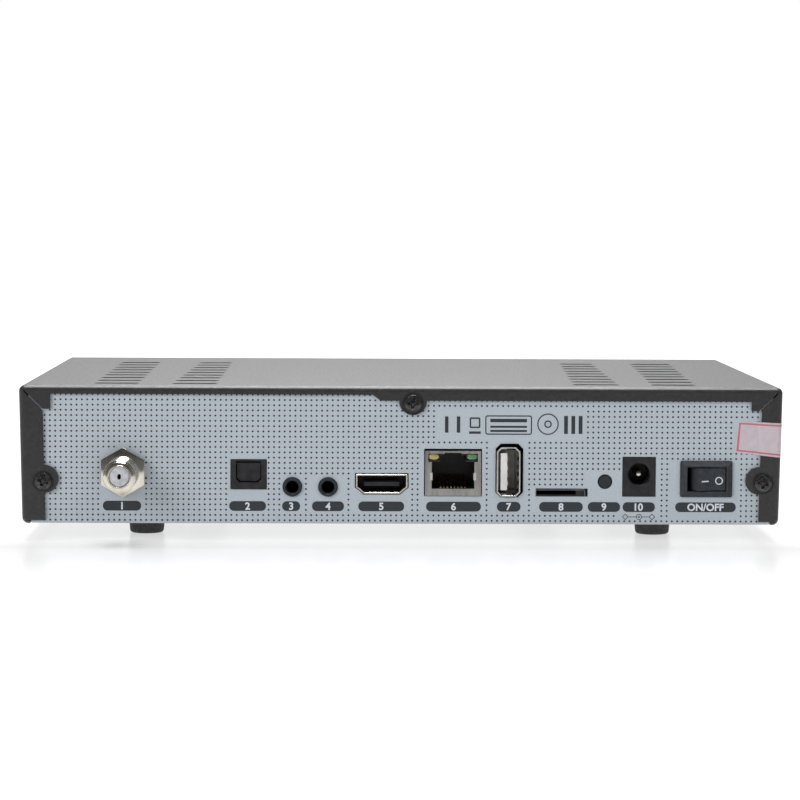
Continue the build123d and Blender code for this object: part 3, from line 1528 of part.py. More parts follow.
# ---- Writing the pieces -------------------------------------------------------------------------
pieces = {
    "top_cover": make_top_cover, "base_tray": make_base_tray,
    "connector_panel": make_connector_panel, "rubber_feet": make_rubber_feet,
    "cover_screws": make_cover_screws, "inner_screws": make_inner_screws,
    "f_connector_body": make_f_connector_body, "f_connector_nut": make_f_connector_nut,
    "f_connector_washer": make_f_connector_washer, "f_connector_insulator": make_f_connector_insulator,
    "f_connector_contact": make_f_connector_contact, "tuner_frame": make_tuner_frame,
    "tuner_lid": make_tuner_lid, "tuner_board": make_tuner_board,
    "optical_port_housing": make_optical_port_housing, "optical_port_shutter": make_optical_port_shutter,
    "optical_port_emitter": make_optical_port_emitter, "av_jack": make_av_jack,
    "serial_jack": make_serial_jack, "hdmi_shell": make_hdmi_shell, "hdmi_tongue": make_hdmi_tongue,
    "ethernet_shell": make_ethernet_shell, "ethernet_insert": make_ethernet_insert,
    "ethernet_contacts": make_ethernet_contacts, "ethernet_amber_light": make_ethernet_amber_light,
    "ethernet_green_light": make_ethernet_green_light, "usb_shell": make_usb_shell,
    "usb_tongue": make_usb_tongue, "usb_contacts": make_usb_contacts,
    "card_slot_shell": make_card_slot_shell, "card_slot_base": make_card_slot_base,
    "recovery_switch_body": make_recovery_switch_body, "recovery_button": make_recovery_button,
    "power_jack_body": make_power_jack_body, "power_jack_pin": make_power_jack_pin,
    "switch_housing": make_switch_housing, "switch_rocker": make_switch_rocker,
    "switch_terminals": make_switch_terminals, "switch_wires": make_switch_wires,
    "main_board": make_main_board, "board_standoffs": make_board_standoffs,
    "board_chips": make_board_chips, "heatsink": make_heatsink,
    "capacitors": make_capacitors, "inductors": make_inductors, "front_panel": make_front_panel,
    "display_window": make_display_window, "display_board": make_display_board,
    "led_display": make_led_display, "infrared_receiver": make_infrared_receiver,
    "status_light": make_status_light, "button_switches": make_button_switches,
    "cable_sockets": make_cable_sockets, "flat_cable": make_flat_cable,
}

os.makedirs("parts", exist_ok=True)
for name, make in pieces.items():
    export_step(make(), f"parts/{name}.step")
for name, x in button_columns.items():
    export_step(button_cap(x), f"parts/{name}_button.step")
    export_step(switch_plunger(x), f"parts/{name}_plunger.step")
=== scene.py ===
import bmesh
import bpy
import numpy as np
from mathutils import Matrix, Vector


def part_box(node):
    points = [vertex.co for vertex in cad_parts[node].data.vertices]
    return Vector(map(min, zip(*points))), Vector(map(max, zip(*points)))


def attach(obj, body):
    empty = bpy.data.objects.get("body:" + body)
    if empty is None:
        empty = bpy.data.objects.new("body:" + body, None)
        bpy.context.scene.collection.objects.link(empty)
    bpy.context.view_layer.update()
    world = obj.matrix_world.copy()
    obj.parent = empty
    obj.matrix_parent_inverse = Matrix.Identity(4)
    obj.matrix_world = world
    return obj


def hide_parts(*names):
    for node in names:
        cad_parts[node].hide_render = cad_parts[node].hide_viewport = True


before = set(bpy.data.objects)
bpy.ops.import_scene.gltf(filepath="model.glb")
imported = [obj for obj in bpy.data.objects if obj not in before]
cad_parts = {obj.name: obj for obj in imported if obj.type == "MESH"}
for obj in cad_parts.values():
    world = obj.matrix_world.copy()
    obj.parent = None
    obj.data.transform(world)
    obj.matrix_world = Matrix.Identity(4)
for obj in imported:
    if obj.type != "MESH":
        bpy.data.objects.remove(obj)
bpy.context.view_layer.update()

# ---- Base tray ----
# Zinc-plated steel sheet, 0.8 mm, laser-cut and folded into a floor, two low sides and a front wall.
# It stays bare: bright satin zinc with the faint clouds and rolling marks of the sheet.
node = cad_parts
mm = 0.001


def finish(name, roughness=0.5, metallic=0.0, **more):
    """New material: constants go on the shader's own sockets, the name of each with _ for a space."""
    look = bpy.data.materials.new(name)
    look.use_nodes = True
    sockets = look.node_tree.nodes["Principled BSDF"].inputs
    sockets["Roughness"].default_value = roughness
    sockets["Metallic"].default_value = metallic
    for socket, value in more.items():
        sockets[socket.replace("_", " ")].default_value = value
    return look


def add(look, kind, inputs, output=0, **settings):
    """Adds one shader node; an input is a number, a colour or another node's output. Gives an output."""
    new = look.node_tree.nodes.new("ShaderNode" + kind)
    for setting, value in settings.items():
        setattr(new, setting, value)
    for socket, value in inputs.items():
        if isinstance(value, bpy.types.NodeSocket):
            look.node_tree.links.new(value, new.inputs[socket])
        else:
            new.inputs[socket].default_value = value
    return new.outputs[output]


def feed(look, socket, output):
    """Leads a node's output into a socket of the material's shader."""
    look.node_tree.links.new(output, look.node_tree.nodes["Principled BSDF"].inputs[socket])


def place_in(look, stretch=(1, 1, 1), coordinate="Object"):
    """Object or UV coordinates, stretched per axis."""
    source = add(look, "TexCoord", {}, coordinate)
    return add(look, "Mapping", {"Vector": source, "Scale": stretch})


def cloud(look, per_metre, detail=2.0, stretch=(1, 1, 1), roughness=0.5):
    """Fractal noise on Object coordinates, so many waves to the metre, stretched per axis."""
    return add(look, "TexNoise", {"Vector": place_in(look, stretch), "Scale": per_metre, "Detail": detail,
                                  "Roughness": roughness}, "Fac")


def spread(look, value, low, high, to_low, to_high):
    """Maps the range low..high of a value to to_low..to_high, held at both ends."""
    return add(look, "MapRange", {"Value": value, "From Min": low, "From Max": high,
                                  "To Min": to_low, "To Max": to_high})


def blend(look, share, first, second):
    """Colour between two by a share, 0 for the first; the first may be another node's output."""
    first = first if isinstance(first, bpy.types.NodeSocket) else (*first, 1)
    return add(look, "Mix", {"Factor": share, 6: first, 7: (*second, 1)}, 2, data_type="RGBA")


def shade(look, value, dark, light, low=0.35, high=0.65):
    """Colour that goes from dark to light as the value goes from low to high."""
    return blend(look, spread(look, value, low, high, 0.0, 1.0), dark, light)


def colour(look, value, dark, light, low=0.35, high=0.65):
    """Base colour that goes from dark to light as the value goes from low to high."""
    feed(look, "Base Color", shade(look, value, dark, light, low, high))


def roughen(look, value, low, high):
    """Roughness that goes from low to high as the value goes from 0.3 to 0.7."""
    feed(look, "Roughness", spread(look, value, 0.3, 0.7, low, high))


def emboss(look, value, height):
    """Bump of the given height, in metres, for a value from 0 to 1."""
    feed(look, "Normal", add(look, "Bump", {"Height": value, "Distance": height, "Strength": 1.0}))


def dress(look, *names):
    """Gives CAD pieces this material."""
    for name in names:
        slots = node[name].data.materials
        slots.clear()
        slots.append(look)


zinc = finish("bright zinc sheet", metallic=0.85)
rolling = cloud(zinc, 60, 5, (14, 1, 14), 0.6)
colour(zinc, cloud(zinc, 45, 4), (0.56, 0.57, 0.57), (0.68, 0.69, 0.70))
roughen(zinc, rolling, 0.28, 0.46)
emboss(zinc, rolling, 0.006 * mm)
dress(zinc, "base_tray")

# ---- Connector panel ----
# The tray's tall rear wall: the same sheet, cut out for each connector before it is folded.
# Its outer face has a satin blue-grey lacquer, and the slate dots, bars and marks are silk-screened on it.
panel_face, roof = 67.65 * mm, 44.6 * mm
lacquer = finish("blue-grey lacquer")
orange_peel = cloud(lacquer, 1400, 2)
mottle = cloud(lacquer, 2600, 3, roughness=0.65)
colour(lacquer, mottle, (0.35, 0.40, 0.45), (0.46, 0.503, 0.545), 0.25, 0.75)
roughen(lacquer, orange_peel, 0.34, 0.48)
emboss(lacquer, orange_peel, 0.008 * mm)
dress(lacquer, "connector_panel")

ink_out, ink_in = 0.02 * mm, -0.01 * mm
ink_front, ink_back = panel_face + ink_out, panel_face + ink_in


def on_panel(right, below, y):
    """Points seen from behind, at a depth y, from millimetres: x is minus the distance right of the middle,
    z is the roof's height less the distance below it."""
    right, below = np.broadcast_arrays(np.asarray(right, float), np.asarray(below, float))
    return np.stack([-right * mm, np.full(right.shape, float(y)), roof - below * mm], -1)


def surface(grid, close_rows=False):
    """Points and four-sided faces of a grid of points, (rows, columns, 3), whose columns close round."""
    rows, columns = grid.shape[:2]
    index = np.arange(rows * columns).reshape(rows, columns)
    index = np.concatenate([index, index[:, :1]], 1)
    if close_rows:
        index = np.concatenate([index, index[:1]])
    faces = np.stack([index[:-1, :-1], index[1:, :-1], index[1:, 1:], index[:-1, 1:]], -1)
    return grid.reshape(-1, 3), faces.reshape(-1, 4).tolist()


def plates(outlines, front, back, at=on_panel):
    """Flat convex plates: each outline of the stack, (count, points, 2), once at the front and once at the
    back, with a face over each and four-sided faces round the rim."""
    outlines = np.asarray(outlines, float)
    count, corners, _ = outlines.shape
    layers = np.stack([at(outlines[..., 0], outlines[..., 1], y) for y in (front, back)], 1)
    first = np.arange(count)[:, None] * 2 * corners
    ring = np.arange(corners)
    after = np.roll(ring, -1)
    rim = np.stack([ring, after, after + corners, ring + corners], -1)[None] + first[..., None]
    faces = (first + ring).tolist() + (first + ring[::-1] + corners).tolist() + rim.reshape(-1, 4).tolist()
    return layers.reshape(-1, 3), faces


def bands(outer, inner, front, back, at=on_panel):
    """A closed flat band between two outlines of equally many points: four loops, closed both ways."""
    loops = [at(outer[:, 0], outer[:, 1], back), at(outer[:, 0], outer[:, 1], front),
             at(inner[:, 0], inner[:, 1], front), at(inner[:, 0], inner[:, 1], back)]
    return surface(np.stack(loops), close_rows=True)


def circle(radius, count, centre=(0.0, 0.0)):
    """Points round a circle: the middle plus the radius times cosine and sine of even turns."""
    turn = np.linspace(0, 2 * np.pi, count, endpoint=False)
    return np.stack([centre[0] + radius * np.cos(turn), centre[1] + radius * np.sin(turn)], -1)


def rounded(right, below, width, height, radius, steps=6):
    """Rectangle with round corners about a middle: a quarter circle at each corner in turn."""
    turn = np.linspace(0, np.pi / 2, steps)
    quarters = [np.stack([sx * (width / 2 - radius) + radius * np.cos(turn + start),
                          sy * (height / 2 - radius) + radius * np.sin(turn + start)], -1)
                for sx, sy, start in ((1, 1, 0), (-1, 1, np.pi / 2), (-1, -1, np.pi), (1, -1, 1.5 * np.pi))]
    return np.concatenate(quarters) + (right, below)


def letters(text, size, right, below, front, back):
    """Words as a closed solid: a text curve made a mesh, centred, scaled and set on the panel."""
    curve = bpy.data.curves.new("letters", "FONT")
    curve.body = text
    curve.size = 1.0
    curve.offset = 0.028
    curve.extrude = 0.5
    curve.resolution_u = 4
    holder = bpy.data.objects.new("letters", curve)
    mesh = bpy.data.meshes.new_from_object(holder)
    raw = np.empty(len(mesh.vertices) * 3)
    mesh.vertices.foreach_get("co", raw)
    raw = raw.reshape(-1, 3)
    faces = [list(face.vertices) for face in mesh.polygons]
    bpy.data.objects.remove(holder)
    bpy.data.curves.remove(curve)
    bpy.data.meshes.remove(mesh)
    across, up, depth = (raw - (raw.min(0) + raw.max(0)) / 2).T
    points = on_panel(right + size * across, below - size * up, 0.0)
    points[:, 1] = (front + back) / 2 + depth * (front - back)
    return points, faces


def build(name, look, body, slot, *shapes, smooth=35.0, stands_for=(), uv=None):
    """One piece from lists of points and faces: weld, turn the faces outward, shade smooth by angle."""
    points, faces, start = [], [], 0
    for shape_points, shape_faces in shapes:
        points.append(shape_points)
        faces += [[corner + start for corner in face] for face in shape_faces]
        start += len(shape_points)
    mesh = bpy.data.meshes.new(name)
    mesh.from_pydata(np.concatenate(points).tolist(), [], faces)
    if uv is not None:
        corners = np.empty(len(mesh.loops), np.int32)
        mesh.loops.foreach_get("vertex_index", corners)
        mesh.uv_layers.new(name="sheet").uv.foreach_set("vector", uv[corners].ravel())
    work = bmesh.new()
    work.from_mesh(mesh)
    bmesh.ops.remove_doubles(work, verts=work.verts, dist=1e-7)
    bmesh.ops.recalc_face_normals(work, faces=work.faces)
    for face in work.faces:
        face.smooth = smooth > 0
    for edge in work.edges:
        edge.smooth = edge.calc_face_angle(0.0) < float(np.radians(smooth))
    work.to_mesh(mesh)
    work.free()
    mesh.materials.append(look)
    piece = bpy.data.objects.new(name, mesh)
    bpy.context.scene.collection.objects.link(piece)
    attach(piece, body)
    if stands_for:
        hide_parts(*stands_for)


# The dots stand on a square net. Zones of it stay bare: first and last column, first and last row.
net_right, net_below, column_step, row_step, dot_radius = -101.08, 13.06, 1.533, 1.511, 0.3
corner_zone, marks_zone, seal_zone = (-1, -1, -7, -4), (73, 100, -4, 1), (129, 133, -2, 3)
aerial_zones = (13, 14, 3, 3), (10, 16, 4, 4), (10, 17, 5, 15), (18, 18, 7, 8)
audio_zones = (34, 40, 5, 15), (44, 47, 9, 15), (49, 55, 9, 15)
data_zones = (57, 67, 8, 15), (70, 81, 3, 15), (83, 89, 2, 15), (91, 100, 11, 15)
power_zones = (101, 106, 8, 15), (107, 107, 8, 16), (108, 114, 5, 16), (117, 129, 6, 16)
column, row = np.meshgrid(np.arange(-1, 134), np.arange(-7, 18), indexing="ij")
bare = np.zeros(column.shape, bool)
for first, last, top, bottom in (corner_zone, marks_zone, seal_zone,
                                 *aerial_zones, *audio_zones, *data_zones, *power_zones):
    bare |= (column >= first) & (column <= last) & (row >= top) & (row <= bottom)
net = np.stack([net_right + column_step * column[~bare], net_below + row_step * row[~bare]], -1)
slate = finish("slate ink")
ink_body = cloud(slate, 3000, 2)
colour(slate, ink_body, (0.018, 0.024, 0.029), (0.028, 0.035, 0.042))
roughen(slate, ink_body, 0.45, 0.6)
build("printed_dots", slate, "case", "panel_print",
      plates(net[:, None] + circle(dot_radius, 10)[None], ink_front, ink_back), smooth=0)

# A dark bar under each connector, with its place in the row in pale ink, and one with ON/OFF for the switch.
bars = ((-80.43, 11.04), (-44.28, 10.6), (-31.75, 5.19), (-21.11, 9.23), (-5.76, 13.24), (15.10, 15.82),
        (31.04, 6.82), (46.15, 12.64), (58.57, 9.37), (68.66, 9.35), (87.98, 17.55))
bar_below, bar_height, letter_size = 34.65, 2.84, 2.9
bar_end = bar_height / 2.1
build("printed_bars", slate, "case", "panel_print",
      plates([rounded(right, bar_below, width, bar_height, bar_end, 9) for right, width in bars],
             ink_front, ink_back), smooth=0)
chalk = finish("pale ink")
colour(chalk, cloud(chalk, 4000, 2), (0.54, 0.58, 0.62), (0.68, 0.71, 0.74))
words = [str(place) for place in range(1, 11)] + ["ON/OFF"]
build("printed_numbers", chalk, "case", "panel_print",
      *[letters(word, letter_size, right, bar_below, ink_front + ink_out, ink_front + ink_in)
        for word, (right, _) in zip(words, bars)], smooth=0)


def frame_band(right, below, width, height, radius, line):
    """Band of one line width round a rounded rectangle."""
    return bands(rounded(right, below, width, height, radius),
                 rounded(right, below, width - 2 * line, height - 2 * line, max(radius - line, 0.05)),
                 ink_front, ink_back)


def ring_band(right, below, radius, line):
    """Band of one line width round a circle."""
    return bands(circle(radius, 40, (right, below)), circle(radius - line, 40, (right, below)),
                 ink_front, ink_back)


def strokes(*boxes):
    """Plain bars, each (right, below, width, height)."""
    return plates([rounded(right, below, width, height, 0.05, 2) for right, below, width, height in boxes],
                  ink_front, ink_back)


def diamond(right, below, reach, line):
    """Band of one line width round a square that stands on its corner."""
    corners = np.array([(1, 0), (0, 1), (-1, 0), (0, -1)], float)
    return bands(corners * reach + (right, below), corners * (reach - line * 1.4) + (right, below),
                 ink_front, ink_back)


# Under the power socket, the plug's polarity: two diamonds and a double ring on a line.
plug_below, thin_line = 37.5, 0.2
polarity = [diamond(64.76, plug_below, 0.95, thin_line), diamond(72.49, plug_below, 0.95, thin_line),
            ring_band(68.76, plug_below, 0.85, thin_line), ring_band(68.76, plug_below, 0.3, 0.18),
            strokes((66.8, plug_below, 2.3, thin_line), (70.6, plug_below, 1.95, thin_line))]
# Above the sockets, plain marks: two bars, a square over a line, a frame with lines, a ring, three bars.
marks_below, thick_line = 10.9, 0.35
square_right, frame_right, ring_right, ring_below = 21.15, 30.85, 42.2, 10.7
upright_bars = strokes((13.0, marks_below, 1.0, 4.7), (16.4, marks_below, 1.0, 4.7),
                       (47.4, marks_below, 1.1, 5.2), (49.5, marks_below, 1.1, 5.2),
                       (51.6, marks_below, 1.1, 5.2))
square = [frame_band(square_right, 10.35, 3.1, 3.1, 0.4, 0.45), strokes((square_right, 13.2, 3.4, 0.7))]
lined_frame = [frame_band(frame_right, 11.0, 13.5, 5.6, 0.7, thick_line),
               strokes((frame_right, 9.7, 10.6, 1.0), (frame_right, 11.5, 10.6, 0.6),
                       (frame_right, 12.7, 10.6, 0.6))]
ring_mark = [ring_band(ring_right, ring_below, 3.1, thick_line), ring_band(ring_right, ring_below, 1.1, 0.4)]
build("printed_marks", slate, "case", "panel_print",
      *polarity, upright_bars, *square, *lined_frame, *ring_mark, smooth=0)

# ---- Main board and its parts ----
# Green glass-fibre board, screwed to five zinc-plated standoffs that are pressed into the tray's floor.
# It carries the main chip under a black anodised heat sink, memory, capacitors, coils and the sockets.
solder_mask = finish("green solder mask", Coat_Weight=0.5, Coat_Roughness=0.15)
tracks = add(solder_mask, "TexBrick", {
    "Vector": place_in(solder_mask), "Scale": 120.0, "Mortar Size": 0.05, "Brick Width": 0.9,
    "Row Height": 0.16, "Color1": (0.008, 0.06, 0.024, 1), "Color2": (0.01, 0.07, 0.028, 1),
    "Mortar": (0.014, 0.12, 0.04, 1)}, "Color")
feed(solder_mask, "Base Color", tracks)
roughen(solder_mask, cloud(solder_mask, 700), 0.22, 0.4)
emboss(solder_mask, cloud(solder_mask, 900, 3), 0.012 * mm)
dress(solder_mask, "main_board")

fixings = finish("bright zinc fixings", metallic=0.9)
colour(fixings, cloud(fixings, 500, 3), (0.52, 0.53, 0.50), (0.68, 0.68, 0.66))
roughen(fixings, cloud(fixings, 900, 4, (1, 1, 6)), 0.2, 0.4)
dress(fixings, "board_standoffs", "inner_screws")

resin = finish("moulded chip resin", 0.6)
colour(resin, cloud(resin, 5000, 2), (0.016, 0.016, 0.018), (0.034, 0.034, 0.036))
emboss(resin, cloud(resin, 9000, 2), 0.015 * mm)
dress(resin, "board_chips")

anodised = finish("black anodised aluminium", metallic=0.6)
extruded = cloud(anodised, 2500, 3, (1, 0.04, 1))
colour(anodised, extruded, (0.018, 0.018, 0.02), (0.05, 0.05, 0.054))
roughen(anodised, extruded, 0.34, 0.55)
emboss(anodised, extruded, 0.008 * mm)
dress(anodised, "heatsink")


def part_of(look, letter, vector=None):
    """One coordinate of a vector, or of the object's own place where none is given."""
    return add(look, "SeparateXYZ", {"Vector": place_in(look) if vector is None else vector}, letter)


# The cans are shrink-wrapped in dark plastic with pale stripes, and their lids are bare aluminium.
can_top = 24.55 * mm
sleeve = finish("capacitor sleeve", 0.32)
is_lid = spread(sleeve, part_of(sleeve, "Z"), can_top - 0.06 * mm, can_top, 0.0, 1.0)
stripes = add(sleeve, "TexWave", {"Vector": place_in(sleeve), "Scale": 28.0, "Distortion": 0.4}, "Fac",
              bands_direction="X")
wrap = shade(sleeve, stripes, (0.009, 0.011, 0.03), (0.05, 0.055, 0.075), 0.82, 0.9)
feed(sleeve, "Base Color", blend(sleeve, is_lid, wrap, (0.62, 0.62, 0.62)))
feed(sleeve, "Metallic", is_lid)
emboss(sleeve, cloud(sleeve, 1500, 2), 0.01 * mm)
dress(sleeve, "capacitors")

ferrite = finish("ferrite", 0.7)
colour(ferrite, cloud(ferrite, 2500, 4), (0.035, 0.035, 0.037), (0.08, 0.08, 0.083))
emboss(ferrite, cloud(ferrite, 4000, 3), 0.04 * mm)
dress(ferrite, "inductors")

ivory = finish("ivory moulding", 0.42, Subsurface_Weight=0.05, Subsurface_Scale=0.001)
colour(ivory, cloud(ivory, 300, 3), (0.57, 0.56, 0.52), (0.66, 0.65, 0.61))
emboss(ivory, cloud(ivory, 3500, 2), 0.006 * mm)
dress(ivory, "cable_sockets")

ribbon = finish("flat cable", 0.35)
cores = add(ribbon, "TexWave", {"Vector": place_in(ribbon), "Scale": 160.0, "Detail": 0.0}, "Fac",
            bands_direction="X")
colour(ribbon, cores, (0.42, 0.43, 0.44), (0.72, 0.73, 0.73), 0.3, 0.6)
emboss(ribbon, cores, 0.06 * mm)
dress(ribbon, "flat_cable")

# ---- Aerial socket and tuner can ----
# A nickel-plated brass barrel with a 3/8-32 thread clamps the panel with a hexagon nut and a dark washer.
# Behind the panel its collar closes the tuner's can, folded from bright tin plate and soldered to the board.
aerial_x, aerial_z = 80.0 * mm, 19.8 * mm
nickel = finish("nickel plate", metallic=1.0)
colour(nickel, cloud(nickel, 420, 4), (0.66, 0.612, 0.53), (0.82, 0.775, 0.695), 0.3, 0.7)
roughen(nickel, cloud(nickel, 900, 4), 0.15, 0.24)


def turned_on_aerial(y, radius, turns):
    """Grid about the aerial's axis: along a profile (y, radius), and round by the turns, x by the cosine
    and z by the sine."""
    y, radius = np.broadcast_arrays(y, radius)
    return np.stack([aerial_x + radius * np.cos(turns), y, aerial_z + radius * np.sin(turns)], -1)


def carried_round(profile, steps):
    """Grids of y and of radius: each (y, radius) pair of a profile, the same for so many steps round."""
    profile = np.asarray(profile, float)
    return np.repeat(profile[:, :1], steps, 1), np.repeat(profile[:, 1:], steps, 1)


# The thread's radius is a triangle wave of the length less the share of a turn, clipped to flat crests and
# roots, and it runs out at both ends.
thread_start, thread_end = 71.85 * mm, 81.95 * mm
pitch, thread_radius, root_radius = 25.4 * mm / 32, 4.75 * mm, 4.38 * mm
barrel_steps = 96
along, around = np.meshgrid(np.linspace(thread_start, thread_end, 8 * 13 + 1),
                            np.linspace(0, 2 * np.pi, barrel_steps, endpoint=False), indexing="ij")
phase = (along - thread_start) / pitch - around / (2 * np.pi)
wave = np.clip(np.abs(2 * (phase - np.floor(phase)) - 1) * 1.5 - 0.25, 0, 1)
runs_out = np.clip(np.minimum(along - thread_start, thread_end - along) / (0.6 * pitch), 0, 1)
threaded = root_radius + (thread_radius - root_radius) * np.maximum(wave, 1 - runs_out)
# Before the thread comes the collar in the can, from the barrel's inner end, and after it the stepped nose.
bore, neck, collar_radius = 2.85, 4.3, 6.2
inner_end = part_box("f_connector_body")[0].y / mm
collar = np.array([(inner_end, bore), (inner_end, neck), (65.85, neck), (65.85, collar_radius),
                   (66.85, collar_radius), (66.85, neck)]) * mm
nose = np.array([(82.2, 4.73), (82.5, 4.58), (82.72, 4.36), (82.72, 4.24), (82.98, 4.06), (83.16, 3.86),
                 (83.16, 3.76), (83.34, 3.58), (83.42, 3.42), (83.3, 3.36), (83.3, 3.28), (83.58, 3.24),
                 (83.65, 3.16), (83.65, 3.02), (83.58, 2.95), (83.27, 2.87), (83.0, bore)]) * mm
collar_y, collar_r = carried_round(collar, barrel_steps)
nose_y, nose_r = carried_round(nose, barrel_steps)
build("aerial_barrel", nickel, "case", "nickel",
      surface(turned_on_aerial(np.concatenate([collar_y, along, nose_y]),
                               np.concatenate([collar_r, threaded, nose_r]), around[:1]), close_rows=True),
      smooth=50, stands_for=["f_connector_body"])

# The nut: a hexagon's radius is the half width over the flats by the cosine of the turn from the nearest
# flat's middle. Its outer end is turned to a cone, which cuts each flat off in an arc.
nut_low, nut_top, half_flats, nut_mouth, cone_end = 68.45 * mm, 71.45 * mm, 6.25 * mm, 4.36 * mm, 4.85 * mm
cone_slope, nut_steps = 2.3, 192
turns = np.linspace(0, 2 * np.pi, nut_steps, endpoint=False)[None] + np.pi / 6
side = half_flats / np.cos((turns + np.pi / 6) % (np.pi / 3) - np.pi / 6)
shoulder = nut_top - (side - cone_end) / cone_slope
same = np.ones((1, nut_steps))
cone_r = [side + (cone_end - side) * share for share in (0.06, 0.35, 0.7, 1.0)]
cone_y = [shoulder + (nut_top - shoulder) * share for share in (0.04, 0.35, 0.7, 1.0)]
nut_r = np.concatenate([nut_mouth * same, side - 0.2 * mm, side, side, side - 0.03 * mm, *cone_r,
                        (nut_mouth + 0.15 * mm) * same, nut_mouth * same])
nut_y = np.concatenate([nut_low * same, nut_low * same, (nut_low + 0.12 * mm) * same, shoulder - 0.14 * mm,
                        shoulder - 0.03 * mm, *cone_y, nut_top * same, (nut_top - 0.15 * mm) * same])
build("aerial_nut", nickel, "case", "nickel",
      surface(turned_on_aerial(nut_y, nut_r, turns), close_rows=True),
      smooth=45, stands_for=["f_connector_nut"])


def ease_edges(width, *names, segments=2):
    """Breaks a CAD piece's sharp edges: weld, join flat faces, bevel by angle, shade flats flat."""
    for name in names:
        piece = node[name]
        piece.modifiers.new("weld", "WELD").merge_threshold = 1e-6
        flat = piece.modifiers.new("flat faces", "DECIMATE")
        flat.decimate_type = "DISSOLVE"
        flat.angle_limit = np.radians(1.0)
        bevel = piece.modifiers.new("edges", "BEVEL")
        bevel.width = width
        bevel.segments = segments
        bevel.limit_method = "ANGLE"
        bevel.angle_limit = np.radians(40)
        bevel.use_clamp_overlap = True
        piece.modifiers.new("even shading", "WEIGHTED_NORMAL").keep_sharp = True


blacked = finish("black oxide steel", metallic=0.5)
colour(blacked, cloud(blacked, 1500, 3), (0.014, 0.014, 0.015), (0.035, 0.035, 0.036))
roughen(blacked, cloud(blacked, 900, 3), 0.3, 0.5)
dress(blacked, "f_connector_washer")
grey_plug = finish("grey insulator", 0.38)
colour(grey_plug, cloud(grey_plug, 700, 3), (0.385, 0.395, 0.425), (0.52, 0.53, 0.56))
emboss(grey_plug, cloud(grey_plug, 2500, 2), 0.008 * mm)
dress(grey_plug, "f_connector_insulator")
ease_edges(0.12 * mm, "f_connector_insulator", "f_connector_washer")

gilt = finish("gilt contacts", metallic=1.0)
colour(gilt, cloud(gilt, 900, 3), (0.74, 0.52, 0.20), (0.88, 0.66, 0.30))
roughen(gilt, cloud(gilt, 2000, 3), 0.16, 0.34)
dress(gilt, "f_connector_contact")

tin = finish("bright tin plate", metallic=0.95)
drawn = cloud(tin, 900, 4, (1, 1, 0.15))
colour(tin, drawn, (0.33, 0.322, 0.306), (0.47, 0.457, 0.437))
roughen(tin, drawn, 0.22, 0.4)
emboss(tin, cloud(tin, 1300, 3), 0.006 * mm)
dress(tin, "tuner_frame", "tuner_lid")
dress(solder_mask, "tuner_board")

# ---- Optical socket ----
# A black moulding, soldered to the board, with a shutter that a spring holds shut over the mouth.
# A red light source stands behind the shutter.
moulding = finish("black moulding", Specular_IOR_Level=0.35)
spark = cloud(moulding, 3500, 2)
colour(moulding, cloud(moulding, 500, 3), (0.012, 0.012, 0.014), (0.023, 0.023, 0.026))
roughen(moulding, spark, 0.36, 0.5)
emboss(moulding, spark, 0.016 * mm)
dress(moulding, "optical_port_housing", "optical_port_shutter")
ease_edges(0.12 * mm, "optical_port_housing", "optical_port_shutter")
red_lens = finish("red lens", Base_Color=(0.45, 0.04, 0.03, 1), Transmission_Weight=0.5, IOR=1.49)
roughen(red_lens, cloud(red_lens, 1200, 2), 0.1, 0.25)
dress(red_lens, "optical_port_emitter")

# ---- Round jacks ----
# Two 3.5 mm jacks with a round nose that comes through the panel, moulded in a plastic that is a little
# greyer and duller than the other sockets'.
grey_black = finish("grey-black moulding", Specular_IOR_Level=0.35)
colour(grey_black, cloud(grey_black, 900, 3), (0.018, 0.021, 0.023), (0.027, 0.031, 0.034))
emboss(grey_black, cloud(grey_black, 4000, 2), 0.012 * mm)
dress(grey_black, "av_jack", "serial_jack")
ease_edges(0.15 * mm, "av_jack", "serial_jack")

# ---- Video socket ----
# A nickel-plated steel shell, rolled from one strip, round a black moulded tongue.
# Its legs are soldered to the board, and its rim stands just in front of the panel.
dress(nickel, "hdmi_shell")
dress(moulding, "hdmi_tongue")
ease_edges(0.14 * mm, "hdmi_shell", segments=3)
ease_edges(0.1 * mm, "hdmi_tongue")

# ---- Network socket ----
# A shell folded from tin plate over a black insert with eight gilt springs and a latch channel.
# Two clear plastic pipes lead a green and an amber light to the face, where each ends in a low dome.
dress(tin, "ethernet_shell")
dress(moulding, "ethernet_insert")
dress(gilt, "ethernet_contacts")

light_middle_z, light_face, light_back, dome_height = 24.38, 68.05, 60.1, 0.5
half_width, half_up, half_down, light_steps = 1.5, 0.78, 0.86, 40
width_power, height_power, dome_start = 0.6, 0.8, 0.55
rise = np.linspace(0, 2 * np.pi, light_steps, endpoint=False)
# The outline's half width goes by the cosine's 0.6th power and its half height by the sine's 0.8th, each
# with its sign; towards the face it shrinks by the cosine of the dome's turn.
drop_shape = np.stack([half_width * np.sign(np.cos(rise)) * np.abs(np.cos(rise)) ** width_power,
                       np.where(np.sin(rise) > 0, half_up, half_down)
                       * np.sign(np.sin(rise)) * np.abs(np.sin(rise)) ** height_power], -1)
dome = np.linspace(0, np.pi / 2, 8)
light_scale = np.concatenate([[0.0, 1.0, 1.0], np.cos(dome[1:])])
light_y = np.concatenate([[light_back, light_back], light_face - dome_start + dome_height * np.sin(dome)])
rings = drop_shape[None] * light_scale[:, None, None]


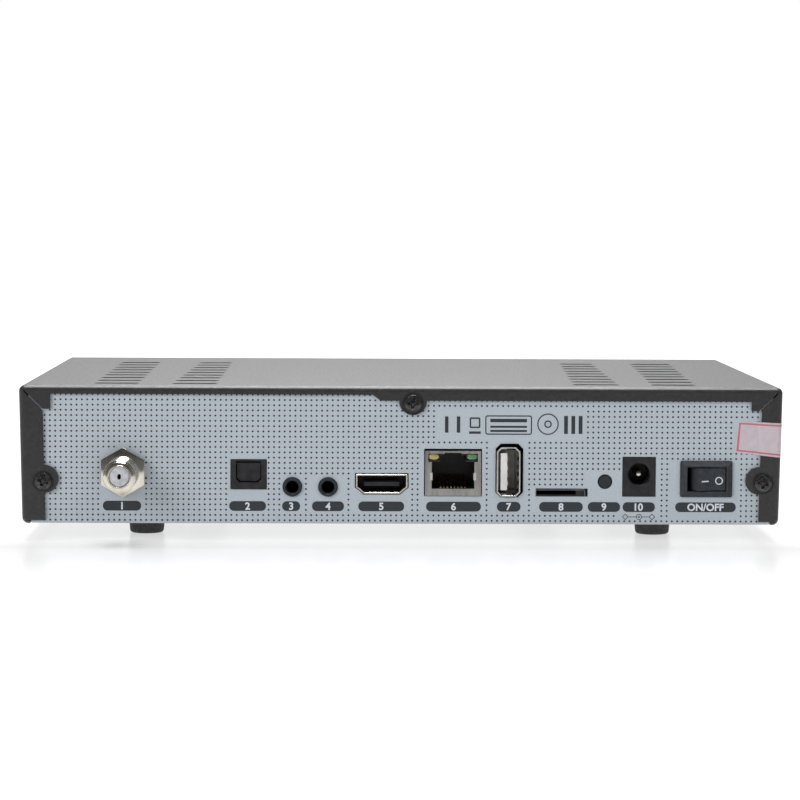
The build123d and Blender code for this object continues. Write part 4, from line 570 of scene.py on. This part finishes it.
def light_pipe(name, node_name, look_name, slot, middle_x, dark, light):
    """One pipe: the outline at each depth, scaled, about its middle."""
    pipe = finish(look_name, Transmission_Weight=0.25, IOR=1.5)
    colour(pipe, cloud(pipe, 300, 2), dark, light)
    roughen(pipe, cloud(pipe, 500, 2), 0.15, 0.25)
    points = np.stack([middle_x + rings[..., 0], np.repeat(light_y[:, None], light_steps, 1),
                       light_middle_z + rings[..., 1]], -1) * mm
    build(name, pipe, "case", slot, surface(points), smooth=50, stands_for=[node_name])


light_pipe("amber_light", "ethernet_amber_light", "amber light pipe", "amber_pipe", -9.35,
           (0.33, 0.27, 0.07), (0.50, 0.43, 0.17))
light_pipe("green_light", "ethernet_green_light", "green light pipe", "green_pipe", -20.45,
           (0.10, 0.24, 0.12), (0.20, 0.36, 0.21))

# The shell's two side springs stand in the mouth, halfway up, and press on a plug's shield. Each is a
# profile, (how far inside the mouth's wall, y), carried up along z.
mouth_middle, mouth_half, leaf_thickness = -14.9, 6.1, 0.05
leaf = np.array([(-0.5, 68.08), (-0.2, 68.12), (0.0, 68.1), (0.18, 67.98), (0.3, 67.7), (0.34, 67.3)])
leaf_up = np.array([17.6, 17.7, 18.7, 19.7, 19.8])


def spring_leaf(hand):
    """A leaf at one side of the mouth: the profile at each height, and again a thickness behind."""
    leaf_x = mouth_middle + hand * (mouth_half - leaf[:, 0])
    front = np.stack(np.broadcast_arrays(leaf_x[:, None], leaf[:, 1:], leaf_up[None]), -1)
    back = front + np.array([hand * 0.02, -leaf_thickness, 0])
    return surface(np.concatenate([front, back[:, ::-1]], 1) * mm)


spring_bright = finish("bright spring leaf", 0.3, 0.9)
colour(spring_bright, cloud(spring_bright, 900, 3), (0.68, 0.67, 0.65), (0.80, 0.79, 0.77))
build("network_springs", spring_bright, "case", "tin_plate", spring_leaf(1), spring_leaf(-1), smooth=60)

# ---- USB socket ----
# A polished steel shell with flared lips, standing on its side, with a white moulded tongue and four gilt
# springs. Its lips stand in front of the panel, and its legs are soldered to the board.
white = finish("white moulding", 0.35, Subsurface_Weight=0.08, Subsurface_Scale=0.001)
colour(white, cloud(white, 400, 3), (0.57, 0.57, 0.56), (0.65, 0.65, 0.64))
emboss(white, cloud(white, 3000, 2), 0.005 * mm)
dress(white, "usb_tongue")
dress(gilt, "usb_contacts")
polished = finish("polished plate", metallic=1.0)
colour(polished, cloud(polished, 700, 3), (0.64, 0.63, 0.61), (0.76, 0.75, 0.73))
roughen(polished, cloud(polished, 900, 3), 0.14, 0.26)
dress(polished, "usb_shell")
ease_edges(0.12 * mm, "usb_shell", segments=3)
ease_edges(0.12 * mm, "usb_tongue")

# ---- Memory-card slot ----
# A cover folded from thin spring steel over a black moulded base, its mouth just in front of the panel.
# The steel is dull from its heat treatment, and the cover's tabs are soldered to the board.
spring = finish("dull spring steel", metallic=0.9)
colour(spring, cloud(spring, 1100, 3), (0.20, 0.20, 0.20), (0.32, 0.32, 0.31))
roughen(spring, cloud(spring, 700, 4, (1, 0.2, 1)), 0.32, 0.5)
dress(spring, "card_slot_shell")
dress(moulding, "card_slot_base")
ease_edges(0.05 * mm, "card_slot_shell", "card_slot_base")

# ---- Recovery button ----
# A small round button of the jacks' grey-black plastic, in a hole of the panel.
# It is the plunger of a black push switch that is soldered to the board.
dress(grey_black, "recovery_button")
dress(moulding, "recovery_switch_body")
ease_edges(0.15 * mm, "recovery_button", segments=3)

# ---- Power socket ----
# A black moulded body with a round well and a nickel-plated centre pin, turned from brass.
# The body is soldered to the board, and its face stands just in front of the panel's.
dress(moulding, "power_jack_body")
dress(nickel, "power_jack_pin")
ease_edges(0.12 * mm, "power_jack_body")
ease_edges(0.3 * mm, "power_jack_pin", segments=3)

# ---- Rocker switch ----
# A snap-in switch: a moulded housing with a sloping bezel, and a satin rocker with its two marks.
# Two solder lugs in its floor hold two covered wires, which lead to the board.
switch_shell = finish("switch moulding", Specular_IOR_Level=0.08)
colour(switch_shell, cloud(switch_shell, 800, 3), (0.034, 0.038, 0.043), (0.048, 0.053, 0.060))
roughen(switch_shell, cloud(switch_shell, 2500, 2), 0.4, 0.52)
emboss(switch_shell, cloud(switch_shell, 3500, 2), 0.008 * mm)
dress(switch_shell, "switch_housing", "switch_rocker")
ease_edges(0.15 * mm, "switch_housing", segments=3)
ease_edges(0.2 * mm, "switch_rocker", segments=3)
covered = finish("wire cover", 0.45)
colour(covered, cloud(covered, 500, 2), (0.025, 0.025, 0.027), (0.045, 0.045, 0.048))
emboss(covered, cloud(covered, 2500, 2), 0.01 * mm)
dress(covered, "switch_wires")
dress(gilt, "switch_terminals")

switch_right = 88.05
ridge_from_middle, ridge_y, end_from_middle, end_y = -1.255, 69.25, 2.506, 71.0


def on_rocker(right, below, lift):
    """Points on the rocker's face: y is the ridge's on the pressed half, and rises evenly from the ridge
    to the raised end on the other."""
    from_middle = switch_right - np.asarray(right, float)
    slope = (end_y - ridge_y) / (end_from_middle - ridge_from_middle)
    points = on_panel(right, below, 0.0)
    points[..., 1] = (ridge_y + np.maximum(from_middle - ridge_from_middle, 0) * slope) * mm + lift
    return points


bar_mark = [rounded(switch_right - 0.51, 26.93, 2.15, 0.36, 0.08, 3)]
ring_middle = switch_right + 3.55, 26.8
build("rocker_marks", chalk, "rocker", "rocker_moulding", plates(bar_mark, ink_out, ink_in, on_rocker),
      bands(circle(1.12, 40, ring_middle), circle(0.84, 40, ring_middle), ink_out, ink_in, on_rocker),
      smooth=0)

# ---- Front panel ----
# A gloss black moulding, screwed to the tray's front wall by its bosses, with a smoked window glued in and
# three buttons. Behind it a board carries a four-digit display, an infrared receiver and a status light.
gloss = finish("gloss black moulding", Coat_Weight=0.4, Coat_Roughness=0.05)
colour(gloss, cloud(gloss, 200, 3), (0.010, 0.010, 0.011), (0.016, 0.016, 0.018))
roughen(gloss, cloud(gloss, 300, 5), 0.08, 0.18)
dress(gloss, "front_panel", "power_button", "channel_up_button", "channel_down_button")
ease_edges(0.2 * mm, "front_panel", "power_button", "channel_up_button", "channel_down_button", segments=3)
smoked = finish("smoked window", Base_Color=(0.05, 0.05, 0.055, 1), Transmission_Weight=0.9, IOR=1.49)
roughen(smoked, cloud(smoked, 150, 4), 0.03, 0.09)
dress(smoked, "display_window")
ease_edges(0.1 * mm, "display_window")

dress(moulding, "led_display", "button_switches")
dress(white, "power_plunger", "channel_up_plunger", "channel_down_plunger")
dress(resin, "infrared_receiver")
dress(solder_mask, "display_board")
dress(red_lens, "status_light")

digits_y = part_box("led_display")[0].y
display_middle = 24.45 * mm


def on_display(right, up, lift):
    """Points on the display's face, seen from the front, in millimetres from its middle."""
    right, up = np.broadcast_arrays(np.asarray(right, float), np.asarray(up, float))
    return np.stack([right * mm, np.full(right.shape, digits_y - lift), display_middle + up * mm], -1)


# A digit has seven six-sided segments: three across, one digit half apart, and four upright, all leaning.
half_digit, half_column, lean = 4.6, 2.3, 0.12
segment = np.array([(-2.1, 0), (-1.8, 0.35), (1.8, 0.35), (2.1, 0), (1.8, -0.35), (-1.8, -0.35)])
upright = segment[:, ::-1] * (1, 1.05)
one_digit = np.stack([segment + (0, half_digit), segment, segment + (0, -half_digit)] +
                     [upright + (sx * half_column, sy * half_digit / 2) for sx in (1, -1) for sy in (1, -1)])
one_digit[..., 0] += one_digit[..., 1] * lean
digit_places = np.array([(-16.5, 0), (-6.5, 0), (6.5, 0), (16.5, 0)])
digits = (one_digit[None] + digit_places[:, None, None]).reshape(-1, 6, 2)
colon = [circle(0.5, 16, (0.2, up)) for up in (2.2, -2.2)]
pale_segment = finish("unlit segments")
colour(pale_segment, cloud(pale_segment, 900, 2), (0.26, 0.26, 0.25), (0.34, 0.34, 0.33))
build("display_segments", pale_segment, "case", "white_moulding",
      plates(digits, ink_out, ink_in, on_display), plates(colon, ink_out, ink_in, on_display), smooth=0)

# ---- Top cover ----
# One steel sheet, 0.8 mm, punched with slots and folded down at both sides and over the connector panel.
# It wears a dark grey powder coat with a fine sandy grain; the slots' cut edges and the cover's inside
# within the slotted area are painted near-black as painted shade.
slots_half_x, slots_end_y = 100 * mm, 62 * mm
coat = finish("dark grey powder coat", Specular_IOR_Level=0.5)
sand = cloud(coat, 1100, 5, roughness=0.75)
grain_colour = shade(coat, sand, (0.016, 0.016, 0.0165), (0.034, 0.0335, 0.0335), 0.3, 0.7)
facing = add(coat, "NewGeometry", {}, "True Normal")


def arith(look, operation, first, second=0.0):
    """One step of arithmetic on two values; an operation on one value leaves the second aside."""
    return add(look, "Math", {0: first, 1: second}, operation=operation)


# Painted shade: within the slotted area, every face that doesn't face up gets near-black in place of the
# coat's grain colour.
within_x = arith(coat, "LESS_THAN", arith(coat, "ABSOLUTE", part_of(coat, "X")), slots_half_x)
within_y = arith(coat, "LESS_THAN", part_of(coat, "Y"), slots_end_y)
not_flat = arith(coat, "LESS_THAN", part_of(coat, "Z", facing), 0.5)
painted_slot_shade = arith(coat, "MULTIPLY", arith(coat, "MULTIPLY", within_x, within_y), not_flat)
feed(coat, "Base Color", blend(coat, painted_slot_shade, grain_colour, (0.004, 0.004, 0.004)))
roughen(coat, sand, 0.3, 0.44)
emboss(coat, sand, 0.045 * mm)
dress(coat, "top_cover")

# ---- Cover screws ----
# Three pan-head self-tapping screws with a cross recess, in glossy black zinc.
# Each is driven through the cover's flange or lip into the panel, one in each dimple.
screw_places = ((102.95, 17.1, 0.35), (-104.4, 17.1, 0.2), (-3.25, 39.85, 0.1))
head_seat, head_radius, head_height = 68.25, 2.5, 1.7
dome_share, dome_fall, rim_fall, screw_steps = 0.93, 0.55, 0.55, 96
shank_radius, shank_tip, tip_taper, taper_end = 1.42, 62.2, (62.6, 0.9), 63.2
arm_half, arm_wall, arm_length, arm_slope = 0.42, 0.14, 1.6, 0.7
well_radius, well_wall, well_depth = 0.85, 0.3, 0.9


def groove(across, length):
    """Depth of one arm of the cross: 1 on its floor, falling evenly to 0 over its walls and its end."""
    return (np.clip((arm_half - np.abs(across)) / arm_wall, 0, 1)
            * np.clip((arm_length - np.abs(length)) / arm_slope, 0, 1))


def cross_head(x, z, twist):
    """Screw about (x, z): shank, flat underside, round rim, and a domed top whose height falls by the square
    of the radius, and by a cross of two tapered grooves, deepest in the middle."""
    turns = np.linspace(0, 2 * np.pi, screw_steps, endpoint=False)
    share = dome_share * np.linspace(1, 0, 30)[:, None]
    a, b = head_radius * share * np.cos(turns - twist), head_radius * share * np.sin(turns - twist)
    well = well_depth * np.clip((well_radius - np.hypot(a, b)) / well_wall, 0, 1)
    recess = np.maximum(np.maximum(groove(a, b), groove(b, a)), well)
    top = head_seat + head_height - dome_fall * share ** 2 - recess
    bow = np.linspace(0, np.pi / 2, 7)[:, None]
    rim_y = head_seat + head_height - dome_fall * dome_share ** 2 - rim_fall * (1 - np.sin(bow))
    rim_r = head_radius * (dome_share + (1 - dome_share) * np.cos(bow))
    shank = [(shank_tip, 0.0), tip_taper, (taper_end, shank_radius), (head_seat, shank_radius),
             (head_seat, head_radius)]
    side_y, side_r = carried_round(np.concatenate([shank, np.concatenate([rim_y, rim_r], 1)]), screw_steps)
    y = np.concatenate([side_y, top])
    radius = np.concatenate([side_r, np.repeat(head_radius * share, screw_steps, 1)])
    points = np.stack([x + radius * np.cos(turns), y, z + radius * np.sin(turns)], -1) * mm
    return surface(points)


black_zinc = finish("glossy black zinc", metallic=0.7)
colour(black_zinc, cloud(black_zinc, 900, 3), (0.035, 0.035, 0.037), (0.085, 0.085, 0.088))
roughen(black_zinc, cloud(black_zinc, 1800, 3), 0.2, 0.36)
build("black_cover_screws", black_zinc, "case", "black_screw",
      *[cross_head(x, z, twist) for x, z, twist in screw_places], smooth=40, stands_for=["cover_screws"])

# ---- Seal ----
# A strip of pale paper-backed film with a red border, stuck from the panel over the cover's flange and
# round its side, and left without words.
film, panel_y, flange_face, fold, side_half = 0.05, 67.65, 68.6, 1.5, 109.79
seal_start, flange_edge, flange_top, side_end = 97.0, 101.9, 103.65, 56.5
bend = np.linspace(0, np.pi / 2, 8)
climb = np.linspace(0, 1, 7)
# Its path, in right and y: flat on the panel, up the flange's edge by half a cosine, flat on the flange, a
# quarter circle round the cover's fold, and forward along the side.
seal_x = np.concatenate([np.linspace(seal_start, flange_edge, 7)[:-1],
                         flange_edge + (flange_top - flange_edge) * climb,
                         np.linspace(flange_top + 0.15, side_half - fold, 10),
                         side_half - fold + (fold + film) * np.sin(bend[1:]), np.full(10, side_half + film)])
seal_y = np.concatenate([np.full(6, panel_y + film),
                         panel_y + film + (flange_face - panel_y) * (1 - np.cos(np.pi * climb)) / 2,
                         np.full(10, flange_face + film),
                         flange_face - fold + (fold + film) * np.cos(bend[1:]),
                         np.linspace(66.8, side_end, 10)])
reach = np.concatenate([[0], np.cumsum(np.hypot(np.diff(seal_x), np.diff(seal_y)))])
reach_grid, strip_grid = np.meshgrid(reach, np.linspace(0, 1, 14), indexing="ij")
# It slopes and widens a little along its length, its cut end leans, and it follows the side's draft.
seal_top, seal_width, seal_slope, seal_widening, end_lean, lean_length = 9.6, 9.15, 0.045, 0.06, 0.9, 6
side_draft, draft_height, draft_below, draft_from, draft_to = 0.85, 39.8, 10.0, 103, 109
seal_below = seal_top + seal_slope * reach_grid + strip_grid * (seal_width + seal_widening * reach_grid)
seal_out = seal_x[:, None] - end_lean * strip_grid * np.clip(1 - reach_grid / lean_length, 0, 1)
side_lean = side_draft * (seal_below - draft_below) / draft_height
seal_out = seal_out - side_lean * np.clip((seal_out - draft_from) / (draft_to - draft_from), 0, 1)
seal_front = np.stack([-seal_out, np.repeat(seal_y[:, None], 14, 1), roof / mm - seal_below], -1)
# Its back lies nine tenths of the film's thickness under its front, and closes on it at both ends.
end_taper, thinnest = 0.2, 0.02
round_side = np.clip((seal_x - (side_half - fold)) / (fold + film), 0, 1)
outward = np.stack([-round_side, np.sqrt(1 - round_side ** 2), 0 * round_side], -1)
thin = film * 0.9 * np.clip(np.minimum(reach, reach[-1] - reach) / end_taper, thinnest, 1)
seal_back = seal_front - outward[:, None] * thin[:, None, None]
seal_points = np.concatenate([seal_front, seal_back[:, ::-1]], 1) * mm
seal_points[[0, -1], 14:] = seal_points[[0, -1], 13::-1]
seal_uv = np.stack([reach_grid / reach[-1], strip_grid], -1)
seal_uv = np.concatenate([seal_uv, seal_uv[:, ::-1]], 1).reshape(-1, 2)

# The border is a red line all round: a frame between two rectangles about the middle of the strip, given
# as shares of its length and of its width.
paper = finish("seal film")
on_sheet = place_in(paper, coordinate="UV")
line_along, half_line_along, line_across, half_line_across = 0.47, 0.0105, 0.425, 0.026


def from_middle_of(letter):
    """Distance from the middle of the strip, as a share, along U or V."""
    return arith(paper, "ABSOLUTE", arith(paper, "SUBTRACT", part_of(paper, letter, on_sheet), 0.5))


def near(value, place, half):
    """1 where a value is within half a line of a place, else 0."""
    off = arith(paper, "ABSOLUTE", arith(paper, "SUBTRACT", value, place))
    return arith(paper, "LESS_THAN", off, half)


from_end, from_edge = from_middle_of("X"), from_middle_of("Y")
inside_along = arith(paper, "LESS_THAN", from_end, line_along + half_line_along)
inside_across = arith(paper, "LESS_THAN", from_edge, line_across + half_line_across)
end_lines = arith(paper, "MULTIPLY", near(from_end, line_along, half_line_along), inside_across)
edge_lines = arith(paper, "MULTIPLY", near(from_edge, line_across, half_line_across), inside_along)
red_line = arith(paper, "MAXIMUM", end_lines, edge_lines)
pulp = shade(paper, cloud(paper, 600, 4), (0.47, 0.40, 0.44), (0.51, 0.44, 0.48))
feed(paper, "Base Color", blend(paper, red_line, pulp, (0.44, 0.14, 0.17)))
roughen(paper, cloud(paper, 1200, 3), 0.4, 0.55)
build("side_seal", paper, "case", None, surface(seal_points), smooth=60, uv=seal_uv)

# ---- Rubber feet ----
# Four black rubber feet, moulded with a slight taper, pressed into holes in the tray's floor.
# The rubber is matt, with a fine moulded grain.
rubber = finish("black rubber", 0.7)
colour(rubber, cloud(rubber, 900, 3), (0.026, 0.026, 0.027), (0.046, 0.046, 0.048))
emboss(rubber, cloud(rubber, 2500, 3), 0.025 * mm)
dress(rubber, "rubber_feet")
ease_edges(0.25 * mm, "rubber_feet", segments=3)

# ---- Camera, table and light ----
# The receiver stands on a white table in a white room, seen from behind and slightly above and to one side.
# Four soft lamps light the panel, the roof and the table; the room behind the camera is darker.
yaw, pitch_down, roll = 0.01771, 0.07061, 0.00477
panel_distance, above_roof, aside = 817.98 * mm, 54.0 * mm, 14.98 * mm
stand = np.array([aside, panel_face + panel_distance, roof + above_roof])
ahead = np.array([-np.sin(yaw) * np.cos(pitch_down), -np.cos(yaw) * np.cos(pitch_down), -np.sin(pitch_down)])
level = np.array([-np.cos(yaw), np.sin(yaw), 0.0])
upright_view = np.cross(level, ahead)
across_view = level * np.cos(roll) + upright_view * np.sin(roll)
above_view = upright_view * np.cos(roll) - level * np.sin(roll)
pose = np.eye(4)
pose[:3] = np.stack([across_view, above_view, -ahead, stand], 1)
lens = bpy.data.cameras.new("view")
lens.lens = 128.25
lens.sensor_width = 36.0
lens.clip_start = 0.01
lens.clip_end = 50.0
camera = bpy.data.objects.new("view", lens)
camera.matrix_world = Matrix(pose.tolist())
bpy.context.scene.collection.objects.link(camera)
bpy.context.scene.camera = camera

# The table glows a little, less just behind the panel, where its glow is cut as a painted shadow of the
# panel; a long way out in front of the panel it is dark to metal that mirrors it, and a long way behind the
# receiver it fades into the white of the room.
table_half, dark_from, dark_to, fade_from, fade_to = 6.0, 0.10, 0.45, -0.15, -1.2
shade_sets_in, shade_dies_out = (0.066, 0.085), (0.06, 0.18)
table_mesh = bpy.data.meshes.new("table")
corners = [(-table_half, -table_half, 0), (table_half, -table_half, 0), (table_half, table_half, 0),
           (-table_half, table_half, 0)]
table_mesh.from_pydata(corners, [], [(0, 1, 2, 3)])
table = bpy.data.objects.new("table", table_mesh)
bpy.context.scene.collection.objects.link(table)
table_white = finish("white table", 0.22, Emission_Color=(1, 1, 1, 1), Specular_IOR_Level=0.3)
rays = table_white.node_tree.nodes.new("ShaderNodeLightPath")
out_front = part_of(table_white, "Y")
far_front = spread(table_white, out_front, dark_from, dark_to, 0.0, 1.0)
far_back = spread(table_white, out_front, fade_to, fade_from, 0.4, 0.0)
dimmed = arith(table_white, "MULTIPLY", far_front, rays.outputs["Is Glossy Ray"])
feed(table_white, "Base Color", blend(table_white, dimmed, (0.42, 0.42, 0.42), (0.06, 0.06, 0.06)))
# Painted shadow of the panel: the table's glow is lowered in a band near the panel, fading out by 0.18 m.
painted_panel_shadow = arith(table_white, "MULTIPLY", spread(table_white, out_front, *shade_sets_in, 0.0, 1.0),
                    spread(table_white, out_front, *shade_dies_out, 0.42, 0.0))
glow = arith(table_white, "SUBTRACT", spread(table_white, dimmed, 0.0, 1.0, 0.54, 0.06), painted_panel_shadow)
seen_back = arith(table_white, "MULTIPLY", far_back, rays.outputs["Is Camera Ray"])
feed(table_white, "Emission Strength", arith(table_white, "ADD", glow, seen_back))
table_mesh.materials.append(table_white)

# The room is white to the camera; metal mirrors it darker towards the camera and overhead.
world = bpy.data.worlds.new("white room")
bpy.context.scene.world = world
world.use_nodes = True
rays = world.node_tree.nodes.new("ShaderNodeLightPath")
direction = add(world, "TexCoord", {}, "Generated")
backdrop = spread(world, part_of(world, "Y", direction), -0.5, 0.1, 0.53, 0.12)
lit_low = spread(world, part_of(world, "Z", direction), 0.35, 0.7, 1.0, 0.35)
mirrored_room = arith(world, "MULTIPLY", backdrop, lit_low)


def by_ray(kind, otherwise, strength):
    """One strength for rays of a kind, another for the rest."""
    return add(world, "Mix", {"Factor": rays.outputs[kind], 2: otherwise, 3: strength}, data_type="FLOAT")


room = world.node_tree.nodes["Background"]
room.inputs["Color"].default_value = (1.0, 1.0, 1.0, 1)
room_light = by_ray("Is Camera Ray", by_ray("Is Glossy Ray", 0.36, mirrored_room), 1.0)
world.node_tree.links.new(room_light, room.inputs["Strength"])


def lamp(name, place, target, size, power, mirrored=True):
    """Soft square lamp at a place, turned to a target; metal mirrors it or not."""
    light = bpy.data.lights.new(name, "AREA")
    light.size = size
    light.energy = power
    holder = bpy.data.objects.new(name, light)
    holder.visible_glossy = mirrored
    back = np.array(place, float) - np.array(target, float)
    back /= np.linalg.norm(back)
    side = np.cross([0.0, 0.0, 1.0], back)
    side /= np.linalg.norm(side)
    turn = np.eye(4)
    turn[:3] = np.stack([side, np.cross(back, side), back, place], 1)
    holder.matrix_world = Matrix(turn.tolist())
    bpy.context.scene.collection.objects.link(holder)


lamp("left lamp", (1.1, 1.2, 0.7), (0, 0, 0.02), 0.8, 12.8, mirrored=False)
lamp("right lamp", (-0.9, 1.2, 0.9), (0, 0, 0.02), 0.9, 3.4, mirrored=False)
lamp("top lamp", (0.0, -0.12, 1.4), (0, 0, 0), 0.8, 30)
lamp("back lamp", (0.0, -1.5, 1.2), (0, 0, 0.04), 0.7, 13)
bpy.context.scene.view_settings.view_transform = "Standard"
